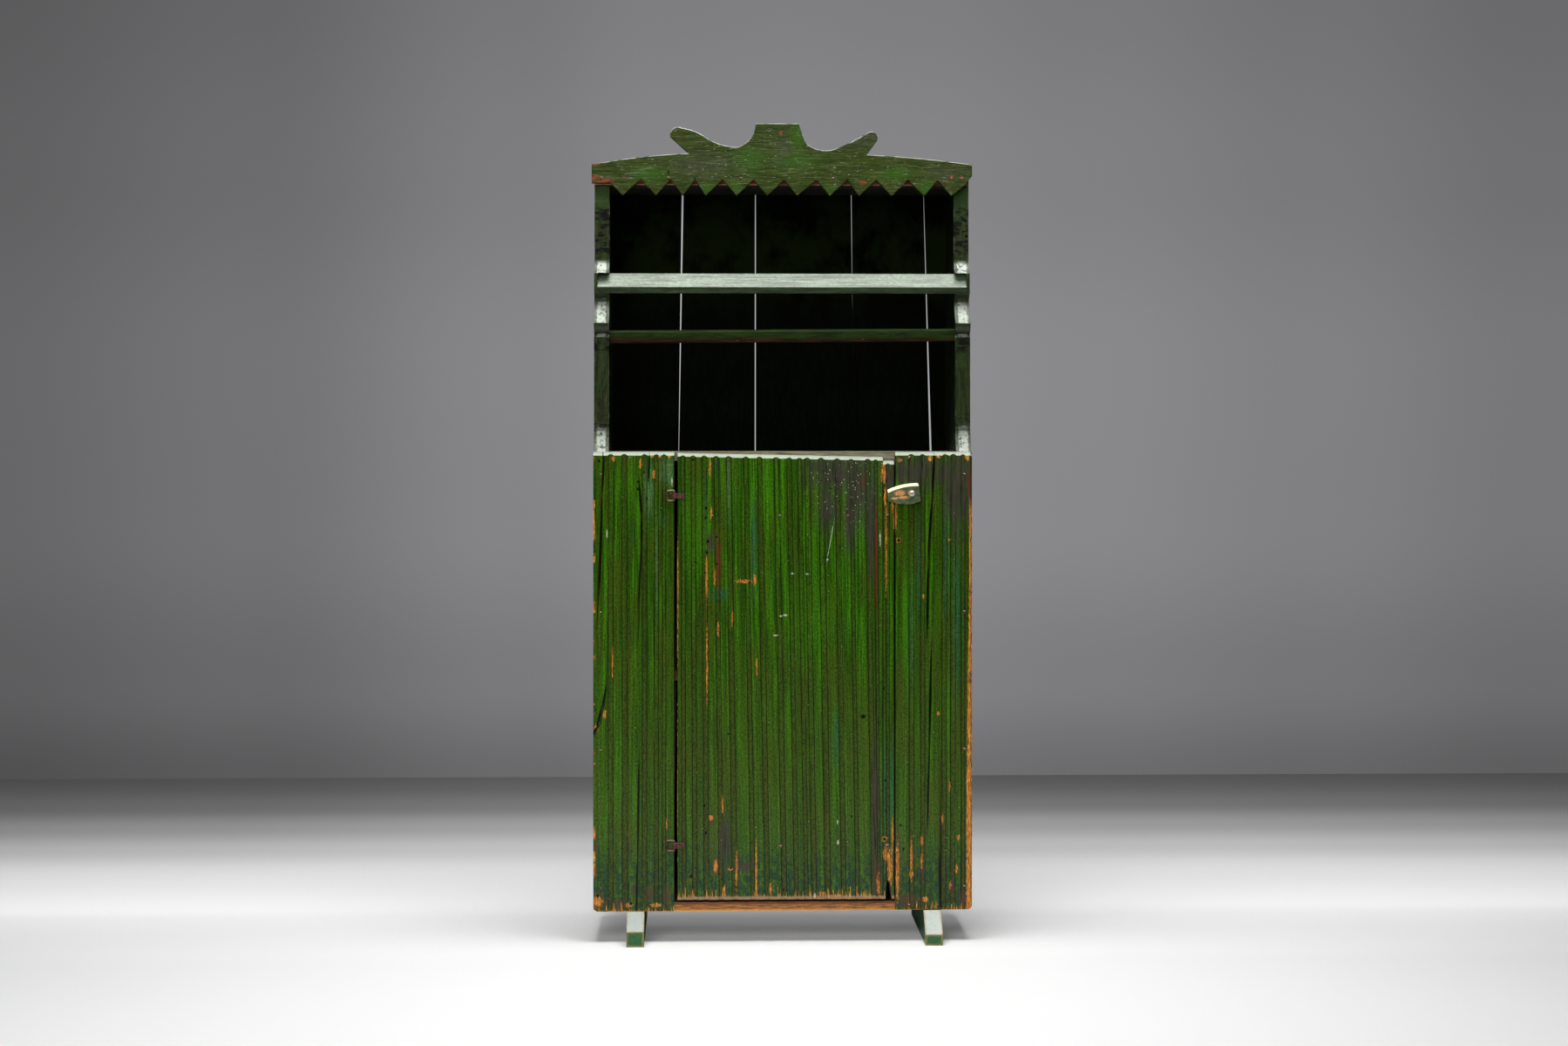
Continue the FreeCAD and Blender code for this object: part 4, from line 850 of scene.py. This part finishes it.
def side_paint():
    """Dark green on the sides, with chisel marks on the shaped front edges, a painted highlight
    on their up-facing sweeps, and painted shade on their inner faces.
    """
    paint = Finish("side_paint", varnish=0.25, shine=0.3)
    rounded, arris = paint.rounded(0.002)
    colour, strokes, fine = brushed(paint, UPRIGHT, SIDE_GREEN, SIDE_DARK)
    patches = paint.patches((0.02, 0.02, 0.05), 6.9, 0.52, 0.62, warp=0.6)
    colour = paint.lay(colour, patches, SIDE_PATCH, 0.5)
    colour = paint.lay(colour, paint.rise(paint.z, *UNWORN_TOP), SIDE_KEPT, 0.6)
    worn = paint.patches((0.006, 0.006, 0.010), 3.9, 0.66, 0.72)
    colour = paint.lay(colour, worn, BROWN_WOOD, 0.6)

    # Painted highlight: the up-facing sweeps of the front edges made pale as if lit from above.
    up = paint.times(paint.rise(paint.facing_z, 0.10, 0.34),
                     paint.patches((0.007, 0.01, 0.009), 5.1, 0.34, 0.52))
    ragged = paint.wander((0.008, 0.01, 0.010), 0.008)
    leaf = paint.window(paint.sum("ADD", paint.sum("ABSOLUTE", paint.x), ragged),
                        0.007 - side_high.x, -0.006 - side_low.x, 0.0012)
    up = paint.times(up, paint.line(leaf, 0.9, 0.1))
    colour = paint.lay(colour, up, SIDE_SWEEP_HIGHLIGHT, 0.9)
    band = 0.0
    for lowest, highest in CHISELLED:
        band = paint.either(band, paint.window(paint.z, lowest, highest, 0.008))
    cuts = paint.grain((0.016, 0.02, 0.0075), 2.1, detail=1.0)
    colour = paint.mix(paint.times(band, paint.rise(cuts, 0.51, 0.55)), colour, HOLE)
    rubbed = paint.times(arris, paint.patches((0.01, 0.01, 0.02), 4.8, 0.5, 0.62))
    colour = paint.lay(colour, rubbed, PALE_GREEN, 0.5)

    flat = paint.sideways(0.8, 0.9)
    # Painted shade: the inner faces of the sides made nearly black, for the shade inside the
    # cupboard.
    inner = paint.times(flat, paint.window(
        paint.x, side_high.x - 0.003, -side_high.x + 0.003, 0.0005))
    colour = paint.lay(colour, inner, SIDE_INNER_SHADE, 0.85)
    outer_green = paint.mix(paint.rise(strokes, 0.36, 0.64), OUTER_DARK, OUTER_GREEN)
    colour = paint.lay(colour, paint.times(flat, paint.without(inner)), outer_green, 0.85)
    colour = back_wood(paint, colour, RINGS_UPRIGHT)
    dents = paint.grain((0.006, 0.006, 0.006), 9.1)
    paint.raise_surface((strokes, 0.0004), (dents, 0.0009), (cuts, 0.0005), over=rounded)
    return paint.done(colour, paint.line(fine, 0.2, 0.3))


def rail_paint():
    """Green on the upper rail, with a patchy painted highlight where it slopes up."""
    paint = Finish("rail_paint", varnish=0.35)
    rounded, arris = paint.rounded(0.0015)
    colour, strokes, fine = brushed(paint, ACROSS, RAIL_GREEN, RAIL_DARK)
    worn = paint.times(paint.patches((0.02, 0.01, 0.005), 3.9, 0.58, 0.66), arris)
    colour = paint.mix(worn, colour, ORANGE_WOOD)
    # Painted highlight: the up-facing slope made pale in patches, as if lit from above.
    patchy_highlight = paint.line(paint.patches((0.10, 0.02, 0.006), 2.6, 0.32, 0.62), 0.5, 0.2)
    colour = paint.lay(colour, paint.rise(paint.facing_z, 0.3, 0.5), RAIL_SLOPE_HIGHLIGHT, patchy_highlight)
    colour = paint.speckle(colour, (0.008, 0.006, 0.004), 0.7, 1.25, 2.2)
    colour = paint.lay(colour, paint.flecks((0.02, 0.008), 0.08, 0.4, 6.0), EDGE_DARK, 0.7)
    colour = back_wood(paint, colour, RINGS_ACROSS)
    paint.raise_surface((strokes, 0.0005), (fine, 0.0004), over=rounded)
    return paint.done(colour, paint.line(fine, 0.2, 0.3))


def lower_rail_paint():
    """Dark green above, rubbed to brown wood along its lower half."""
    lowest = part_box("lower_rail")[0].z
    paint = Finish("lower_rail_paint", shine=0.08)
    rounded = paint.rounded(0.0015)[0]
    colour, strokes, fine = brushed(paint, ACROSS, LOW_RAIL_GREEN, LOW_RAIL_DARK)
    height = paint.sum("ADD", paint.z, paint.wander((0.05, 0.01, 0.006), 0.014))
    wood = paint.mix(paint.patches((0.03, 0.01, 0.002), 3.3, 0.42, 0.66),
                     LOW_RAIL_WOOD_DARK, LOW_RAIL_WOOD)
    colour = paint.mix(paint.rise(height, lowest + 0.013, lowest + 0.009), colour, wood)
    colour = paint.lay(colour, paint.flecks((0.03, 0.012), 0.12, 0.3, 4.0), BROWN_WOOD, 0.7)
    colour = back_wood(paint, colour, RINGS_ACROSS)
    paint.raise_surface((strokes, 0.0003), (fine, 0.0003), over=rounded)
    return paint.done(colour, paint.line(fine, 0.2, 0.5))


def runner_paint():
    """Green on the runners, with toes scuffed pale on their sloping tops, which also carry a
    painted highlight, and yellow at the arrises.
    """
    paint = Finish("runner_paint", varnish=0.15)
    rounded = paint.rounded(0.003)[0]
    arris = paint.rounded(0.010)[1]
    colour, strokes, fine = brushed(paint, DEEPWARDS, RUNNER_GREEN, RUNNER_DARK)
    # Partly scuffed paint, partly painted highlight: the toes' up-facing slopes made pale as if
    # lit from above, broken by pits.
    toe = paint.times(paint.rise(paint.facing_z, 0.4, 0.6),
                      paint.rise(paint.y, front_y + 0.004, front_y - 0.001))
    pits = paint.patches((0.003, 0.003, 0.002), 6.2, 0.60, 0.68)
    colour = paint.mix(toe, colour, paint.mix(pits, TOE_SCUFF_AND_HIGHLIGHT, TOE_PITS))
    rubbed = paint.times(arris, paint.patches((0.008, 0.008, 0.008), 4.8, 0.34, 0.46))
    colour = paint.mix(rubbed, colour, TOE_ARRIS)
    paint.raise_surface((strokes, 0.0005), (pits, 0.0006), over=rounded)
    return paint.done(colour, paint.line(fine, 0.2, 0.35))


def shaded_back():
    """The back boards: painted shade, nearly black green inside, with painted light in patches
    higher up, and bare brown wood towards the wall.
    """
    paint = Finish("shaded_paint", roughness=0.7, shine=0.03)
    colour, strokes, fine = brushed(paint, UPRIGHT, SHADED_GREEN, SHADED_DARK)
    # Painted light: lighter green patches on the upper back boards, where light reaches in.
    glimpse = paint.times(paint.patches((0.06, 0.06, 0.08), 3.1, 0.36, 0.60),
                          paint.rise(paint.z, *LIT_BACK))
    colour = paint.mix(glimpse, colour, SHADED_GLIMPSE)
    colour = back_wood(paint, colour, RINGS_UPRIGHT)
    paint.raise_surface((strokes, 0.0006), (fine, 0.0005))
    return paint.done(colour)


def roof_edge(wood, colour, rings):
    """The roof's front edge: a pale line of painted highlight over painted black shade. Its top
    is dusty.
    """
    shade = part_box("top_board")[0].z + ROOF_SHADE
    # Painted highlight along the lit strip of the front edge, and painted shade below it.
    line = wood.times(wood.window(wood.z, shade, shade + 0.0022, 0.0005),
                      wood.rise(rings, 0.3, 0.5))
    colour = wood.mix(line, colour, PINK_EDGE_HIGHLIGHT)
    colour = wood.mix(wood.rise(wood.z, shade + 0.0005, shade - 0.0005), colour, HOLE)
    dusty = wood.mix(rings, DARK_WOOD, OLD_BOARD_DARK)
    return wood.mix(wood.rise(wood.facing_z, 0.5, 0.7), colour, dusty)


def sill_edge(wood, colour, rings):
    """The sill: darker near its top, rubbed pale near its foot, and dark underneath."""
    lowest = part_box("bottom_board")[0].z
    height = wood.line(rings, 0.006, wood.z)
    colour = wood.lay(colour, wood.rise(height, lowest + 0.015, lowest + 0.019), DARK_WOOD, 0.7)
    colour = wood.lay(colour, wood.rise(height, lowest + 0.007, lowest + 0.005), PALE_WOOD, 0.7)
    return wood.mix(wood.rise(wood.facing_z, -0.5, -0.7), colour, DARK_WOOD)


def raw_wood(name, size, light, dark, edged=None):
    """Unpainted wood gone brown, with its grain along the board."""
    wood = Finish(name, roughness=0.7)
    rounded = wood.rounded(SOFT_ARRIS)[0]
    rings = wood.grain(size, 2.2, warp=0.4)
    fine = wood.grain(finer(size, 4), 6.1)
    colour = wood.mix(wood.rise(rings, 0.3, 0.7), dark, light)
    colour = wood.lay(colour, wood.rise(fine, 0.55, 0.72), DARK_WOOD, 0.7)
    if edged is not None:
        colour = edged(wood, colour, rings)
    colour = wood.speckle(colour, finer(size, 3), 0.70, 1.30, 7.3)
    wood.raise_surface((rings, 0.0006), (fine, 0.0005), over=rounded)
    return wood.done(colour)


def rusty_iron():
    """Forged iron with a dry brown rust, and a painted highlight on its upper faces."""
    iron = Finish("rusty_iron", metallic=0.35)
    rust = iron.grain((0.004, 0.004, 0.004), 3.0)
    pits = iron.grain((0.0012, 0.0012, 0.0012), 6.0)
    colour = iron.mix(iron.rise(rust, 0.35, 0.7), RUST_DARK, RUST)
    # Painted highlight: faces that turn upwards made paler as if lit from above.
    colour = iron.mix(iron.rise(iron.facing_z, 0.2, 0.6), colour, RUST_TOP_HIGHLIGHT)
    iron.raise_surface((rust, 0.0006), (pits, 0.0004))
    return iron.done(colour, iron.line(pits, 0.3, 0.45))


def dull_steel():
    """A nail head rubbed bright."""
    steel = Finish("dull_steel", metallic=0.8)
    scratches = steel.grain((0.001, 0.001, 0.004), 4.0)
    steel.raise_surface((scratches, 0.0003))
    return steel.done(steel.mix(scratches, STEEL_DARK, STEEL_BRIGHT),
                      steel.line(scratches, 0.3, 0.3))


def worn_button():
    """The turn button: dark green worn through to orange wood, with a pale upper bevel."""
    button = Finish("worn_button", varnish=0.4)
    rounded, arris = button.rounded(0.002)
    patches = button.grain((0.012, 0.01, 0.006), 2.5, warp=0.6)
    scratches = button.grain((0.008, 0.003, 0.002), 5.0, warp=0.5)
    colour = button.mix(button.rise(patches, 0.38, 0.6), BUTTON_DARK, BUTTON_GREEN)
    bare = button.ovals(BUTTON_BARE, button.wander((0.004, 0.01, 0.0025), 2.4),
                        -BUTTON_PROUD, soft=0.3)
    wood = button.mix(button.rise(scratches, 0.4, 0.62), BUTTON_WOOD, BUTTON_WOOD_PALE)
    colour = button.mix(bare, colour, wood)
    bevel = button.mix(button.rise(scratches, 0.5, 0.66), BUTTON_CREAM, BUTTON_MOSS)
    colour = button.mix(button.rise(button.facing_z, 0.15, 0.35), colour, bevel)
    colour = button.lay(colour, button.rise(button.facing_z, -0.15, -0.35), BUTTON_UNDER, 0.8)
    rubbed = button.times(arris, button.rise(patches, 0.4, 0.55))
    colour = button.lay(colour, rubbed, BUTTON_ARRIS, 0.7)
    button.raise_surface((patches, 0.0006), (scratches, 0.0004), over=rounded)
    return button.done(colour, button.line(patches, 0.3, 0.35))


def dress():
    """Gives every node of the frame its finish: iron, unless another one is chosen."""
    iron = rusty_iron()
    chosen = {
        "crest_board": crest_paint(),
        "top_board": raw_wood("roof_wood", ACROSS, PINK_WOOD, PINK_DARK, roof_edge),
        "upper_rail": rail_paint(),
        "lower_rail": lower_rail_paint(),
        "counter_board": raw_wood("counter_wood", ACROSS, COUNTER_PALE, COUNTER_DARK),
        "bottom_board": raw_wood("sill_pine", SILL_GRAIN, SILL_PINE, SILL_DARK, sill_edge),
        "turn_button": worn_button(),
        "turn_button_nail": dull_steel(),
        **dict.fromkeys(SIDE_BOARDS, side_paint()),
        **dict.fromkeys(BACK_BOARDS, shaded_back()),
        **dict.fromkeys(RUNNERS, runner_paint()),
        **dict.fromkeys(PINE_BOARDS, raw_wood("old_pine", PINE_GRAIN, PINE, PINE_DARK)),
        **{board: Flutes(board).painted() for board in FLUTED_BOARDS},
    }
    for name, node in nodes.items():
        node.data.materials.clear()
        node.data.materials.append(chosen.get(name, iron))


set_camera()
studio()
dress()
